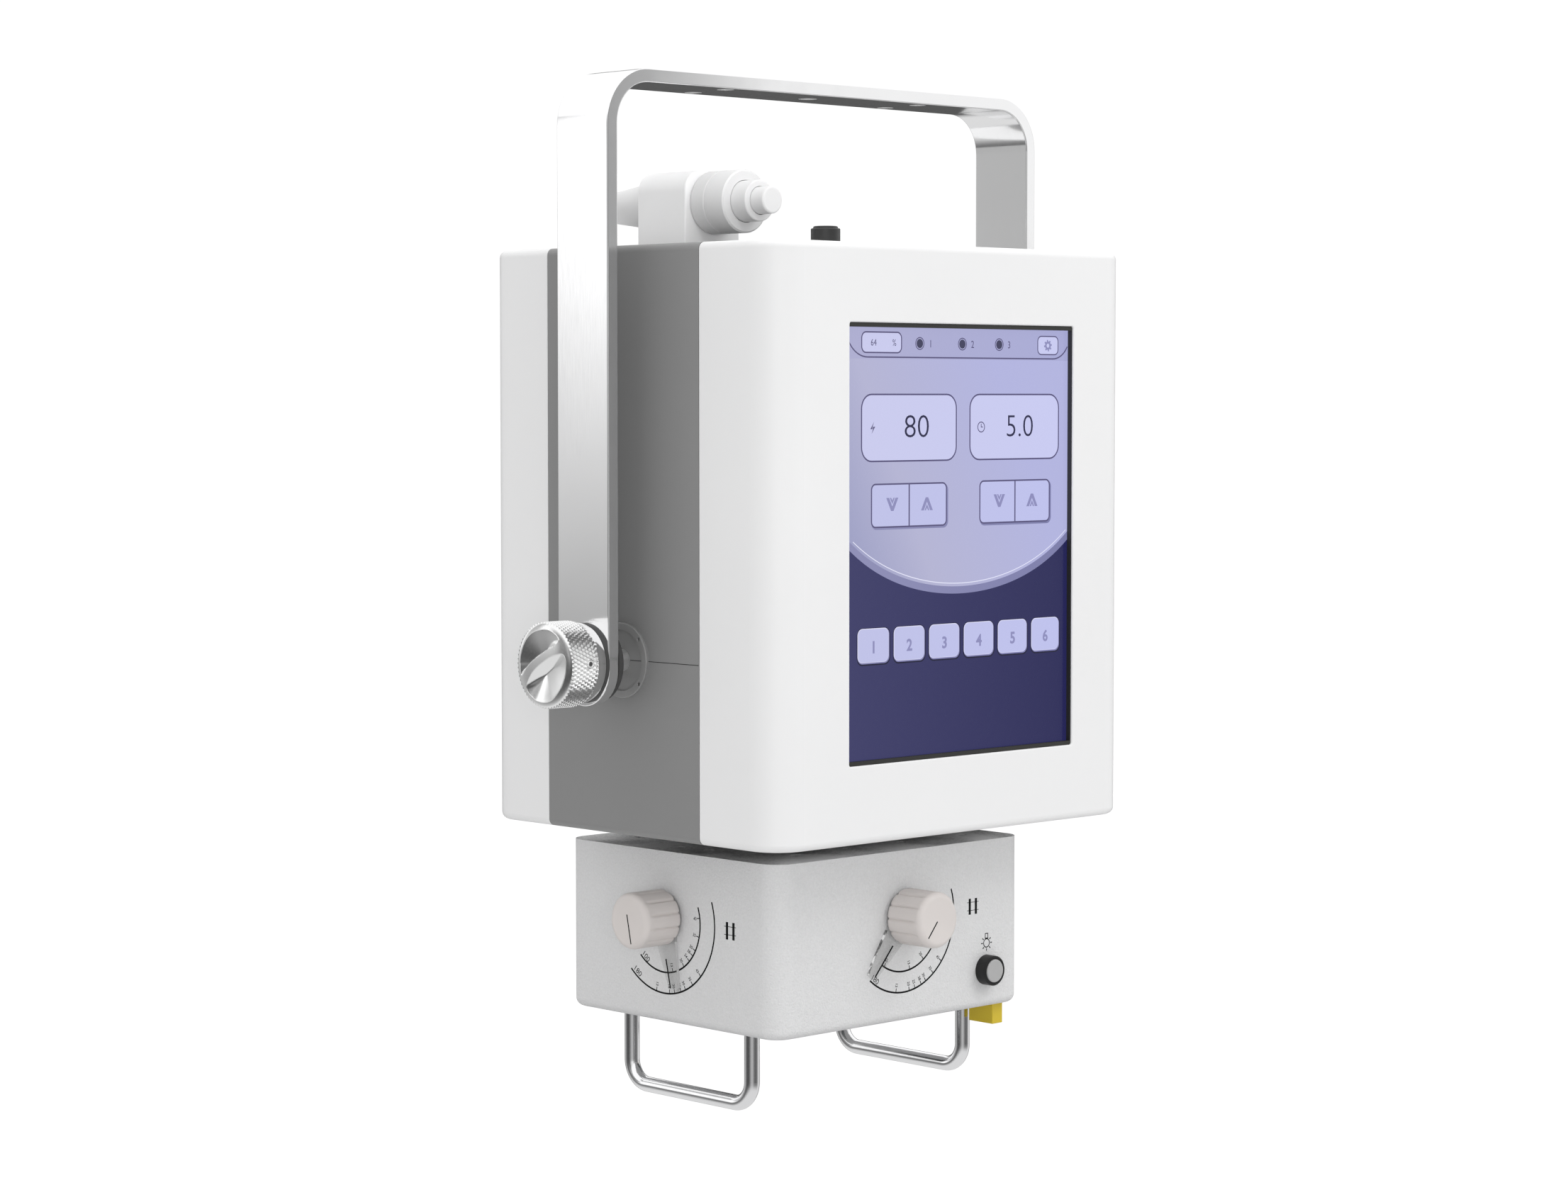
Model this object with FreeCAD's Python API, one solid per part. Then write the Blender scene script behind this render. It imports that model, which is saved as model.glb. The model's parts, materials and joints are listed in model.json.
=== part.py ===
import FreeCAD, Part
import os, math

V = FreeCAD.Vector
os.makedirs("parts", exist_ok=True)

# ---------------------------------------------------------------- driving dimensions, mm
# machine body
W, D, H = 262.0, 221.6, 300.0          # width X, depth Y, height Z
Z0 = 144.5                             # underside of the body above the rails' lowest line
ZT = Z0 + H
CORNER_R, EDGE_R = 19.0, 3.75          # vertical corners, top and bottom edges
WALL, FRONT_WALL = 3.5, 3.0
SEAM_F, SEAM_R = -55.4, 60.0           # seams front cover / middle casing / rear cover
SEAM_Z = 234.5                         # seam of the two casing halves, at the pivots
# screen
SX0, SX1, SZ0, SZ1 = -80.3, 85.6, 184.3, 404.8
BEZ_SIDE, BEZ_LOW, BEZ_TOP = 0.35, 2.1, 2.2   # dark border inside the opening
# yoke
PIV_Y, PIV_Z = 1.45, 234.2
YK_IN, YK_OUT, YK_W = 150.9, 157.7, 38.7
YK_TOP, YK_UNDER = 532.0, 525.2
YK_RO, YK_RI = 28.0, 21.2
YK_END = 2.6                           # the round leg ends are centred this far below the pivots
STUD_R = 5.0
RUN = 0.05                             # running clearance, radial
HOLE_PITCH_X, HOLE_PITCH_Y, HOLE_R, CENTRE_R = 142.0, 24.5, 4.5, 5.0
# clamp knobs
KNOB_OUT, KNOB_R, COLLAR_R = 26.8, 22.0, 20.4
WASHER_T, WASHER_R = 2.0, 20.2
FLANGE_R, RECESS_R = 19.3, 15.6        # ring of the pivot flange and the recess inside it
# collimator
CW, CD, CH = 184.7, 162.3, 90.0
CYC = 10.45                            # centre of the collimator in Y
CZ0, CZ1 = 42.1, 132.1
CWALL, CR = 2.5, 12.0
PLATE_T = 2.4
RIM_W = 1.1                            # rim of the housing round the top plate
KX_Y, KX_Z = 13.3, 97.8                # left field knob axis (along X)
KY_X, KY_Z = 0.0, 97.8                 # front field knob axis (along Y)
FK_R, FK_OUT = 14.7, 25.4
POINTER_T = 1.8
PINION_M, PINION_N = 1.0, 16           # module and teeth of the shutter pinions
L_ANG, F_ANG = 13.6, -41.0             # pointer directions at rest, degrees from straight down
# rails
RAIL_R, RAIL_X, RAIL_YF, RAIL_YR, RAIL_BEND = 4.0, 78.8, -38.5, 54.3, 12.5
# exposure switch
HS_X, HS_Z = -71.0, 467.7

CYF, CYR = CYC - CD / 2, CYC + CD / 2  # collimator front and rear faces
CX = CW / 2


# ---------------------------------------------------------------- helpers
def box(x0, x1, y0, y1, z0, z1):
    return Part.makeBox(x1 - x0, y1 - y0, z1 - z0, V(x0, y0, z0))


def cyl(axis, r, a0, a1, c):
    # axis X: c = (y, z); axis Y: c = (x, z); axis Z: c = (x, y)
    if axis == "X":
        return Part.makeCylinder(r, a1 - a0, V(a0, c[0], c[1]), V(1, 0, 0))
    if axis == "Y":
        return Part.makeCylinder(r, a1 - a0, V(c[0], a0, c[1]), V(0, 1, 0))
    return Part.makeCylinder(r, a1 - a0, V(c[0], c[1], a0), V(0, 0, 1))


def cone(axis, r0, r1, a0, a1, c):
    if axis == "X":
        return Part.makeCone(r0, r1, a1 - a0, V(a0, c[0], c[1]), V(1, 0, 0))
    if axis == "Y":
        return Part.makeCone(r0, r1, a1 - a0, V(c[0], a0, c[1]), V(0, 1, 0))
    return Part.makeCone(r0, r1, a1 - a0, V(c[0], c[1], a0), V(0, 0, 1))


def ring(axis, ro, ri, a0, a1, c):
    return cyl(axis, ro, a0, a1, c).cut(cyl(axis, ri, a0 - 1, a1 + 1, c))


def fillet(shape, r, pick):
    edges = [e for e in shape.Edges if pick(e)]
    return shape.makeFillet(r, edges)


def is_vertical(e):
    b = e.BoundBox
    return b.ZLength > 1 and b.XLength < 1e-4 and b.YLength < 1e-4


def at_z(z):
    return lambda e: abs(e.BoundBox.ZMin - z) < 1e-4 and abs(e.BoundBox.ZMax - z) < 1e-4


def rounded_block(x0, x1, y0, y1, z0, z1, rv, re):
    b = fillet(box(x0, x1, y0, y1, z0, z1), rv, is_vertical)
    if re > 0:
        b = fillet(b, re, lambda e: at_z(z0)(e) or at_z(z1)(e))
    return b


def poly(points, vec):
    pts = [V(*p) for p in points]
    return Part.Face(Part.makePolygon(pts + [pts[0]])).extrude(V(*vec))


def compound(shapes):
    return Part.makeCompound(shapes)


def save(name, shape):
    if not shape.isValid():
        print("INVALID", name)
    n = len(shape.Solids)
    print("%-26s solids %d  volume %.1f cm3" % (name, n, shape.Volume / 1000.0))
    shape.exportStep("parts/%s.step" % name)


def revolve_x(profile, c):
    # profile: (x, r) pairs, turned about the line along X through (y, z) = c
    pts = [V(x, c[0], c[1] + r) for x, r in profile]
    f = Part.Face(Part.makePolygon(pts + [pts[0]]))
    return f.revolve(V(0, c[0], c[1]), V(1, 0, 0), 360)


def revolve_y(profile, c):
    pts = [V(c[0], y, c[1] + r) for y, r in profile]
    f = Part.Face(Part.makePolygon(pts + [pts[0]]))
    return f.revolve(V(c[0], 0, c[1]), V(0, 1, 0), 360)


# ---------------------------------------------------------------- body shells
outer = rounded_block(-W / 2, W / 2, -D / 2, D / 2, Z0, ZT, CORNER_R, EDGE_R)
inner = rounded_block(-W / 2 + WALL, W / 2 - WALL, -D / 2 + FRONT_WALL, D / 2 - FRONT_WALL,
                      Z0 + WALL, ZT - WALL, CORNER_R - 3.2, 1.5)
BOLTS = [(x, z) for x in (-106.0, 106.0) for z in (163.0, 426.0)]
BOSS_R, BOLT_R = 6.0, 2.1


def seam_round(shape, y, r):
    # outer edge of a cover where it meets the casing
    def pick(e):
        b = e.BoundBox
        if abs(b.YMin - y) > 1e-4 or abs(b.YMax - y) > 1e-4:
            return False
        far = max(abs(b.XMin), abs(b.XMax)) > W / 2 - 0.01
        top = b.ZMax > ZT - 0.01 or b.ZMin < Z0 + 0.01
        corner = max(abs(b.XMin), abs(b.XMax)) > W / 2 - 0.02 and (b.ZMax > ZT - 4 or b.ZMin < Z0 + 4)
        return far or top or corner
    return fillet(shape, r, pick)


front_solid = seam_round(outer.common(box(-200, 200, -200, SEAM_F, 0, 600)), SEAM_F, 0.8)
rear_solid = seam_round(outer.common(box(-200, 200, SEAM_R, 200, 0, 600)), SEAM_R, 0.8)
mid_solid = outer.common(box(-200, 200, SEAM_F, SEAM_R, 0, 600))

# front cover
fc = front_solid.cut(inner)
for x, z in BOLTS:
    fc = fc.fuse(cyl("Y", BOSS_R, -D / 2 + FRONT_WALL - 0.5, SEAM_F, (x, z)))
    fc = fc.cut(cyl("Y", 1.9, -95, SEAM_F + 1, (x, z)))
opening = fillet(box(SX0, SX1, -130, -90, SZ0, SZ1), 1.2,
                 lambda e: e.BoundBox.YLength > 10)
fc = fc.cut(opening)


def opening_edge(e):
    # front edge of the screen opening
    b = e.BoundBox
    return (abs(b.YMin + D / 2) < 1e-4 and abs(b.YMax + D / 2) < 1e-4 and b.XMin > SX0 - 0.1 and b.XMax < SX1 + 0.1
            and b.ZMin > SZ0 - 0.1 and b.ZMax < SZ1 + 0.1)


fc = fillet(fc, 0.8, opening_edge)
PB_X, PB_Y = -70.0, -83.0
fc = fc.cut(cyl("Z", 6.9, ZT - 10, ZT + 5, (PB_X, PB_Y)))
save("front_cover", fc)

# screen stack
gy0 = -D / 2 + FRONT_WALL
GX0, GX1, GZ0, GZ1 = SX0 - 8, SX1 + 8, SZ0 - 8, SZ1 + 8
# the gasket lines the walls of the opening and has a flange between the cover and the glass
lining = fillet(box(SX0, SX1, gy0 - 2.0, gy0 + 0.1, SZ0, SZ1), 1.2, lambda e: e.BoundBox.YLength > 1 and e.BoundBox.XLength < 1e-4)
gasket = box(GX0, GX1, gy0, gy0 + 0.8, GZ0, GZ1).fuse(lining).cut(
    box(SX0 + BEZ_SIDE, SX1 - BEZ_SIDE, gy0 - 3, gy0 + 2, SZ0 + BEZ_LOW, SZ1 - BEZ_TOP))
save("screen_gasket", gasket.removeSplitter())
save("touch_glass", box(GX0, GX1, gy0 + 0.8, gy0 + 2.6, GZ0, GZ1))
save("lcd_module", box(GX0, GX1, gy0 + 2.6, gy0 + 10.6, GZ0, GZ1))
br = box(GX0 - 6, GX1 + 6, gy0 + 10.6, gy0 + 12.1, GZ0 - 6, GZ1 + 6).cut(
    box(GX0 + 25, GX1 - 25, gy0, gy0 + 20, GZ0 + 25, GZ1 - 25))
for x in (GX0 - 3, GX1 + 3):
    for z in (GZ0 - 3, GZ1 + 3):
        br = br.fuse(cyl("Y", 2.6, gy0, gy0 + 10.7, (x, z)))
for x in (-55, 55):
    for z in (220, 380):
        br = br.fuse(box(min(x, x / abs(x) * 66) - 3, max(x, x / abs(x) * 66) + 3, gy0 + 10.6, gy0 + 12.1, z - 5, z + 5))
        br = br.fuse(cyl("Y", 3.0, gy0 + 11, -86.0, (x, z)))
save("screen_bracket", br.removeSplitter())
board = box(-60, 60, -86, -84.4, 215, 385)
chips = [box(-40, -12, -84.4, -81, 330, 358), box(5, 45, -84.4, -78, 320, 340), box(-45, -5, -84.4, -72, 225, 240),
         box(10, 50, -84.4, -76, 230, 262), cyl("Y", 6, -84.4, -70, (30, 290)), cyl("Y", 6, -84.4, -70, (14, 290)),
         box(-40, -20, -84.4, -82, 270, 290)]
for c in chips:
    board = board.fuse(c)
for x in (-55, 55):
    for z in (220, 380):
        board = board.cut(cyl("Y", 1.6, -90, -80, (x, z)))
save("control_board", board.removeSplitter())

# power button on top of the front cover
pb_c = (PB_X, PB_Y)
pbr = cyl("Z", 7.4, ZT, ZT + 7.5, pb_c).fuse(cyl("Z", 6.8, ZT - 22, ZT + 0.1, pb_c))
pbr = fillet(pbr, 0.7, at_z(ZT + 7.5))
pbr = pbr.cut(cyl("Z", 6.5, ZT + 1, ZT + 9, pb_c)).cut(cyl("Z", 2.6, ZT - 18, ZT + 3, pb_c))
save("power_button_ring", pbr)
pbc = fillet(cyl("Z", 6.2, ZT + 4.2, ZT + 8.6, pb_c), 0.8, at_z(ZT + 8.6)).fuse(cyl("Z", 2.3, ZT - 12, ZT + 4.3, pb_c))
save("power_button_cap", pbc)

# middle casing, two halves, with bolt bosses and the pivot hub holes
mid = mid_solid.cut(inner)
for x, z in BOLTS:
    mid = mid.fuse(cyl("Y", BOSS_R, SEAM_F, SEAM_R, (x, z)))
    mid = mid.fuse(box(min(x, x / abs(x) * 128.5), max(x, x / abs(x) * 128.5), SEAM_F, SEAM_R, z - 1.5, z + 1.5))
    mid = mid.cut(cyl("Y", BOLT_R + 0.2, SEAM_F - 1, SEAM_R + 1, (x, z)))
HUB_R = 13.0
mid = mid.cut(cyl("X", HUB_R + 0.05, -W / 2 - 1, -W / 2 + WALL + 1, (PIV_Y, PIV_Z)))
mid = mid.cut(cyl("X", HUB_R + 0.05, W / 2 - WALL - 1, W / 2 + 1, (PIV_Y, PIV_Z)))
mid = mid.cut(cyl("Z", 31.0, Z0 - 1, Z0 + WALL + 1, (0, CYC)))
up = mid.common(box(-200, 200, -200, 200, SEAM_Z, 600))
lo = mid.common(box(-200, 200, -200, 200, 0, SEAM_Z))
save("mid_casing_upper", up)
save("mid_casing_lower", lo)

# rear cover with bolt bosses, countersinks and the opening of the mains inlet
rc = rear_solid.cut(inner)
IN_X, IN_Z = 70.0, 185.0
for x, z in BOLTS:
    rc = rc.fuse(cyl("Y", BOSS_R, SEAM_R, D / 2 - FRONT_WALL + 0.5, (x, z)))
    rc = rc.cut(cyl("Y", BOLT_R + 0.2, SEAM_R - 1, D / 2 + 1, (x, z)))
    rc = rc.cut(cone("Y", BOLT_R + 0.2, 4.6, D / 2 - 2.3, D / 2 + 0.001, (x, z)))
rc = rc.cut(box(IN_X - 14, IN_X + 14, D / 2 - 8, D / 2 + 1, IN_Z - 10.5, IN_Z + 10.5))
save("rear_cover", rc)
bolts = []
for x, z in BOLTS:
    b = cyl("Y", 1.85, -90, D / 2 - 0.5, (x, z)).fuse(cone("Y", 1.85, 4.0, D / 2 - 2.65, D / 2 - 0.5, (x, z)))
    hexs = poly([(x + 1.3 * math.cos(math.radians(a)), D / 2 - 2.0, z + 1.3 * math.sin(math.radians(a)))
                 for a in range(0, 360, 60)], (0, 4, 0))
    bolts.append(b.cut(hexs).removeSplitter())
save("tie_bolts", compound(bolts))

# mains inlet: recessed three-pin socket behind the opening, three flat blades
inlet = box(IN_X - 17, IN_X + 17, D / 2 - 24, D / 2 - FRONT_WALL, IN_Z - 14, IN_Z + 14)
inlet = inlet.cut(box(IN_X - 12.3, IN_X + 12.3, D / 2 - 19, D / 2, IN_Z - 8.4, IN_Z + 8.4))
for x, z in ((-7, -1.5), (0, 1.8), (7, -1.5)):
    inlet = inlet.fuse(box(IN_X + x - 1, IN_X + x + 1, D / 2 - 20, D / 2 - 8, IN_Z + z - 2, IN_Z + z + 2))
save("power_inlet", inlet.removeSplitter())

# ---------------------------------------------------------------- chassis and pivots
FLOOR = Z0 + WALL
ch = box(-98.5, 98.5, -50, 55, FLOOR, FLOOR + 3)
for k in (-1, 1):
    for x0, x1, z0, z1 in ((95.5, 98.5, FLOOR, 174), (95.5, 119, 171, 174), (116, 119, 171, 268)):
        ch = ch.fuse(box(min(k * x0, k * x1), max(k * x0, k * x1), -50, 55, z0, z1))
ch = ch.cut(cyl("Z", 22, FLOOR - 1, FLOOR + 4, (0, CYC)))
ch = ch.cut(cyl("X", HUB_R + 0.05, -130, 130, (PIV_Y, PIV_Z)))
ch = ch.removeSplitter()
save("chassis", ch)
SCREWS = [(PIV_Y + 17.6 * math.cos(math.radians(a)), PIV_Z + 17.6 * math.sin(math.radians(a))) for a in (40, 140, 220, 320)]
scr, flanges, studs = [], [], []
for s in (-1, 1):
    xo = s * (W / 2 + 1.6)
    xi = s * W / 2
    f = cyl("X", FLANGE_R, min(xo, xi), max(xo, xi), (PIV_Y, PIV_Z))
    f = fillet(f, 0.5, lambda e: abs(e.BoundBox.XMin - xo) < 1e-4 and abs(e.BoundBox.XMax - xo) < 1e-4)
    a, b = sorted((s * (W / 2 + 0.4), s * (W / 2 + 3)))
    f = f.cut(cyl("X", RECESS_R, a, b, (PIV_Y, PIV_Z)))
    a, b = sorted((xi, s * 112.0))
    f = f.fuse(cyl("X", HUB_R, a, b, (PIV_Y, PIV_Z)))
    f = f.cut(cyl("X", STUD_R, -140, 140, (PIV_Y, PIV_Z)))
    for y, z in SCREWS:
        a, b = sorted((s * (W / 2 - 4), s * (W / 2 + 3)))
        f = f.cut(cyl("X", 1.0, a, b, (y, z)))
        a, b = sorted((s * (W / 2 + 0.2), s * (W / 2 + 1.2)))
        scr.append(cyl("X", 1.0, a, b, (y, z)))
    flanges.append(f.removeSplitter())
    a, b = sorted((s * 108.0, s * (YK_OUT + KNOB_OUT - 8.0)))
    st = cyl("X", STUD_R, a, b, (PIV_Y, PIV_Z))
    a, b = sorted((s * 108.0, s * 112.0))
    st = st.fuse(cyl("X", 9.0, a, b, (PIV_Y, PIV_Z)))
    # shoulder that carries the inner washer
    a, b = sorted((s * (W / 2 + 0.4), s * (YK_IN - 2.5)))
    st = st.fuse(cyl("X", 5.6, a, b, (PIV_Y, PIV_Z)))
    studs.append(st.removeSplitter())
save("pivot_flanges", compound(flanges))
save("pivot_studs", compound(studs))
save("pivot_flange_screws", compound(scr))

# ---------------------------------------------------------------- tube head
CY = CYC
TK = dict(x0=-92, x1=92, y0=-42, y1=50, z0=FLOOR + 3, z1=336)
tank = fillet(box(TK["x0"], TK["x1"], TK["y0"], TK["y1"], TK["z0"], TK["z1"]), 8, is_vertical)
tank = tank.cut(box(TK["x0"] + 4, TK["x1"] - 4, TK["y0"] + 4, TK["y1"] - 4, TK["z0"] + 4, TK["z1"] + 1))
tank = tank.cut(cyl("Z", 16, TK["z0"] - 1, TK["z0"] + 5, (0, CY)))
# room for the heads of the pivot studs is left at the chassis side plates
save("tube_tank", tank)
lid = fillet(box(TK["x0"] - 2, TK["x1"] + 2, TK["y0"] - 2, TK["y1"] + 2, TK["z1"], TK["z1"] + 5), 9, is_vertical)
save("tank_lid", lid)
FS = 205.0
env = revolve_x([(-70, 0), (-70, 11), (-48, 12), (-30, 21), (30, 21), (48, 12), (66, 11), (66, 0)], (CY, FS))
envi = revolve_x([(-68, 0), (-68, 9.2), (-47.5, 10.2), (-29.5, 19.2), (29.5, 19.2), (47.5, 10.2), (64, 9.2), (64, 0)], (CY, FS))
env = env.cut(envi)
save("tube_envelope", env)
an = cyl("X", 8.5, 8, 64, (CY, FS)).common(box(-100, 100, -100, 100, 0, 600))
an = an.cut(poly([(7, CY - 20, FS + 12), (7, CY - 20, FS - 12), (13.8, CY - 20, FS + 12)][::1], (0, 40, 0)))
save("tube_anode", an)
cat = cyl("X", 8.0, -22, -12, (CY, FS)).fuse(cyl("X", 3.0, -68, -22, (CY, FS)))
cat = cat.cut(box(-14, -11, CY - 1.2, CY + 1.2, FS - 5, FS + 5))
save("tube_cathode", cat.removeSplitter())
core = box(-60, 20, -30, 38, 252, 310).cut(box(-46, 6, -40, 50, 266, 296))
save("hv_transformer_core", core)
w1 = box(-66, -42, -38 + 2, 38 + 6, 268, 294).cut(box(-60.2, -45.8, -30.2, 38.2, 260, 300))
save("hv_transformer_winding", w1)
mul = box(36, 39, -34, 42, 245, 320)
for z in (255, 270, 285, 300):
    for y in (-20, 0, 20):
        mul = mul.fuse(cyl("X", 4.5, 38.9, 50, (y, z)))
save("hv_multiplier", mul.removeSplitter())
inv = box(-80, 80, 72, 73.6, 230, 400)
for c in [box(-60, -10, 73.6, 98, 240, 262), cyl("Y", 12, 73.6, 104, (25, 260)), cyl("Y", 12, 73.6, 104, (55, 260)),
          box(-60, 60, 73.6, 80, 330, 352), box(-50, -20, 73.6, 90, 290, 312), box(10, 46, 73.6, 88, 300, 318)]:
    inv = inv.fuse(c)
for x in (-75, 75):
    for z in (235, 395):
        inv = inv.fuse(cyl("Y", 3.0, 73.5, D / 2 - FRONT_WALL, (x, z)))
save("inverter_board", inv.removeSplitter())

# ---------------------------------------------------------------- yoke
half = YK_W / 2


def arch(xo, zt, r, y0, y1, zb):
    b = box(-xo, xo, y0, y1, zb, zt)
    return fillet(b, r, lambda e: e.BoundBox.YLength > 5 and abs(e.BoundBox.ZMin - zt) < 1e-4 and abs(e.BoundBox.ZMax - zt) < 1e-4 and e.BoundBox.XLength < 1e-4)


yk = arch(YK_OUT, YK_TOP, YK_RO, PIV_Y - half, PIV_Y + half, PIV_Z - YK_END - half - 1)
yk = yk.cut(arch(YK_IN, YK_UNDER, YK_RI, PIV_Y - half - 1, PIV_Y + half + 1, PIV_Z - YK_END - half - 2))
# round lower ends
low = box(-200, 200, PIV_Y - half - 1, PIV_Y + half + 1, PIV_Z - YK_END - half - 2, PIV_Z - YK_END)
low = low.cut(cyl("X", half, -201, 201, (PIV_Y, PIV_Z - YK_END)))
yk = yk.cut(low)
yk = yk.cut(cyl("X", STUD_R + RUN, -200, 200, (PIV_Y, PIV_Z)))
for x in (-HOLE_PITCH_X / 2, HOLE_PITCH_X / 2):
    for y in (-HOLE_PITCH_Y / 2, HOLE_PITCH_Y / 2):
        yk = yk.cut(cyl("Z", HOLE_R, 500, 540, (x, PIV_Y + y)))
yk = yk.cut(cyl("Z", CENTRE_R, 500, 540, (0, PIV_Y)))


def bar_edge(e):
    # long edges of the bar and the rims of its round ends, but no hole edges
    b = e.BoundBox
    side = abs(abs(b.YMin - PIV_Y) - half) < 1e-3 and abs(abs(b.YMax - PIV_Y) - half) < 1e-3 and b.YLength < 1e-3
    end = b.XLength < 1e-3 and b.ZMax < PIV_Z + 0.01 and b.YLength > 30
    return side or end


yk = fillet(yk, 0.6, bar_edge)
save("yoke", yk)

# ---------------------------------------------------------------- clamp knobs
wo = []
for s in (-1, 1):
    a, b = sorted((s * (YK_IN - 2.5), s * YK_IN))
    wo.append(ring("X", WASHER_R, STUD_R + RUN, a, b, (PIV_Y, PIV_Z)))
for side, s in (("left", -1), ("right", 1)):
    a, b = sorted((s * YK_OUT, s * (YK_OUT + WASHER_T)))
    wo.append(ring("X", WASHER_R, STUD_R + RUN, a, b, (PIV_Y, PIV_Z)))
    dome = [(s * (YK_OUT + 24.6 + 2.2 * (1 - (r / 21.3) ** 2.2) ** (1 / 2.2)), r) for r in (20.8, 20.0, 18.6, 16.5, 13.5, 9.0)]
    k = revolve_x([(s * (YK_OUT + WASHER_T), 0), (s * (YK_OUT + WASHER_T), COLLAR_R - 0.5), (s * (YK_OUT + WASHER_T + 0.5), COLLAR_R),
                   (s * (YK_OUT + 6.2), COLLAR_R + 0.3), (s * (YK_OUT + 7.2), KNOB_R - 0.4), (s * (YK_OUT + 7.6), KNOB_R),
                   (s * (YK_OUT + 24.2), KNOB_R), (s * (YK_OUT + 24.6), KNOB_R - 0.4)] + dome +
                  [(s * (YK_OUT + KNOB_OUT), 4.0), (s * (YK_OUT + KNOB_OUT), 0)], (PIV_Y, PIV_Z))
    # two scooped recesses each side of a diagonal grip ridge
    ridge = math.radians(45.0)
    for sg in (-1, 1):
        n = (math.cos(ridge) * sg, -math.sin(ridge) * sg) if s < 0 else (math.cos(ridge) * sg, math.sin(ridge) * sg)
        cyy, czz = PIV_Y + n[0] * 11.0, PIV_Z + n[1] * 11.0
        sc = cyl("X", 15.0, min(s * (YK_OUT + KNOB_OUT - 6.5), s * (YK_OUT + KNOB_OUT + 2)), max(s * (YK_OUT + KNOB_OUT - 6.5), s * (YK_OUT + KNOB_OUT + 2)), (cyy, czz))
        keep = cyl("X", 17.8, min(s * YK_OUT, s * 190), max(s * YK_OUT, s * 190), (PIV_Y, PIV_Z))
        bar_dir = (-n[1], n[0])
        bar = poly([(s * YK_OUT, PIV_Y + n[0] * 3.4 + bar_dir[0] * 30, PIV_Z + n[1] * 3.4 + bar_dir[1] * 30),
                    (s * YK_OUT, PIV_Y + n[0] * 3.4 - bar_dir[0] * 30, PIV_Z + n[1] * 3.4 - bar_dir[1] * 30),
                    (s * YK_OUT, PIV_Y + n[0] * 40 - bar_dir[0] * 30, PIV_Z + n[1] * 40 - bar_dir[1] * 30),
                    (s * YK_OUT, PIV_Y + n[0] * 40 + bar_dir[0] * 30, PIV_Z + n[1] * 40 + bar_dir[1] * 30)], (s * 40, 0, 0))
        k = k.cut(sc.common(keep).common(bar))
    k = k.cut(cyl("X", STUD_R + RUN, min(s * (YK_OUT - 1), s * (YK_OUT + KNOB_OUT - 7.8)), max(s * (YK_OUT - 1), s * (YK_OUT + KNOB_OUT - 7.8)), (PIV_Y, PIV_Z)))
    # grub screw hole towards the front
    k = k.cut(cyl("Y", 1.6, PIV_Y - KNOB_R - 1, PIV_Y - KNOB_R + 6, (s * (YK_OUT + 13.0), PIV_Z)))
    save(side + "_clamp_knob", k)
save("yoke_washers", compound(wo))

# ---------------------------------------------------------------- hand switch on top
hb = box(HS_X - 19, HS_X + 19, -0.8, 35.8, ZT, ZT + 39.5)
hb = fillet(hb, 10.5, lambda e: e.BoundBox.YLength > 10 and abs(e.BoundBox.ZMin - (ZT + 39.5)) < 1e-4 and e.BoundBox.XLength < 1e-4)
hb = fillet(hb, 0.8, lambda e: e.BoundBox.YLength < 1e-4 and e.BoundBox.ZMax > ZT + 1)
hb = hb.cut(cyl("Y", 13.6, -5, 45, (HS_X, HS_Z)))
save("switch_holder", hb)
cs = (HS_X, HS_Z)
hs_body = revolve_y([(-26.0, 0), (-26.0, 15.4), (-25.2, 16.2), (-12.1, 16.2), (-11.7, 15.7), (-11.3, 15.7), (-10.9, 16.2), (-2.0, 16.2),
                     (-1.2, 15.6), (-1.1, 13.3), (35.8, 13.3), (40.0, 13.0), (58, 10.3), (74, 8.2), (86, 7.2), (90, 6.0), (91.5, 4.0), (91.5, 0)], cs)
hs_body = hs_body.cut(cyl("Y", 10.9, -27, -8, cs)).cut(cyl("Y", 3.2, -10, 20, cs))
save("hand_switch_body", hs_body)
# first stage: sleeve; second stage: button inside it
sl = cyl("Y", 10.6, -36.7, -14.0, cs)
sl = fillet(sl, 0.8, lambda e: abs(e.BoundBox.YMin + 36.7) < 1e-4 and abs(e.BoundBox.YMax + 36.7) < 1e-4)
sl = sl.cut(cyl("Y", 7.3, -38, -22, cs)).cut(cyl("Y", 3.2, -30, -10, cs))
save("hand_switch_sleeve", sl)
bt = cyl("Y", 7.0, -45.9, -28.0, cs)
bt = fillet(bt, 1.2, lambda e: abs(e.BoundBox.YMin + 45.9) < 1e-4 and abs(e.BoundBox.YMax + 45.9) < 1e-4)
bt = bt.fuse(cyl("Y", 2.8, -28.1, -4, cs))
save("hand_switch_button", bt.removeSplitter())

# ---------------------------------------------------------------- collimator
hx0, hx1 = -CX, CX
hous = fillet(box(hx0, hx1, CYF, CYR, CZ0, CZ1), CR, is_vertical)
hous = fillet(hous, 4.5, at_z(CZ0))
cav = fillet(box(hx0 + CWALL, hx1 - CWALL, CYF + CWALL, CYR - CWALL, CZ0 + CWALL, CZ1), CR - CWALL, is_vertical)
hous = hous.cut(cav)
# ledge for the top plate
hous = hous.cut(fillet(box(hx0 + RIM_W, hx1 - RIM_W, CYF + RIM_W, CYR - RIM_W, CZ1 - PLATE_T, CZ1 + 1), CR - RIM_W, is_vertical))
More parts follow.
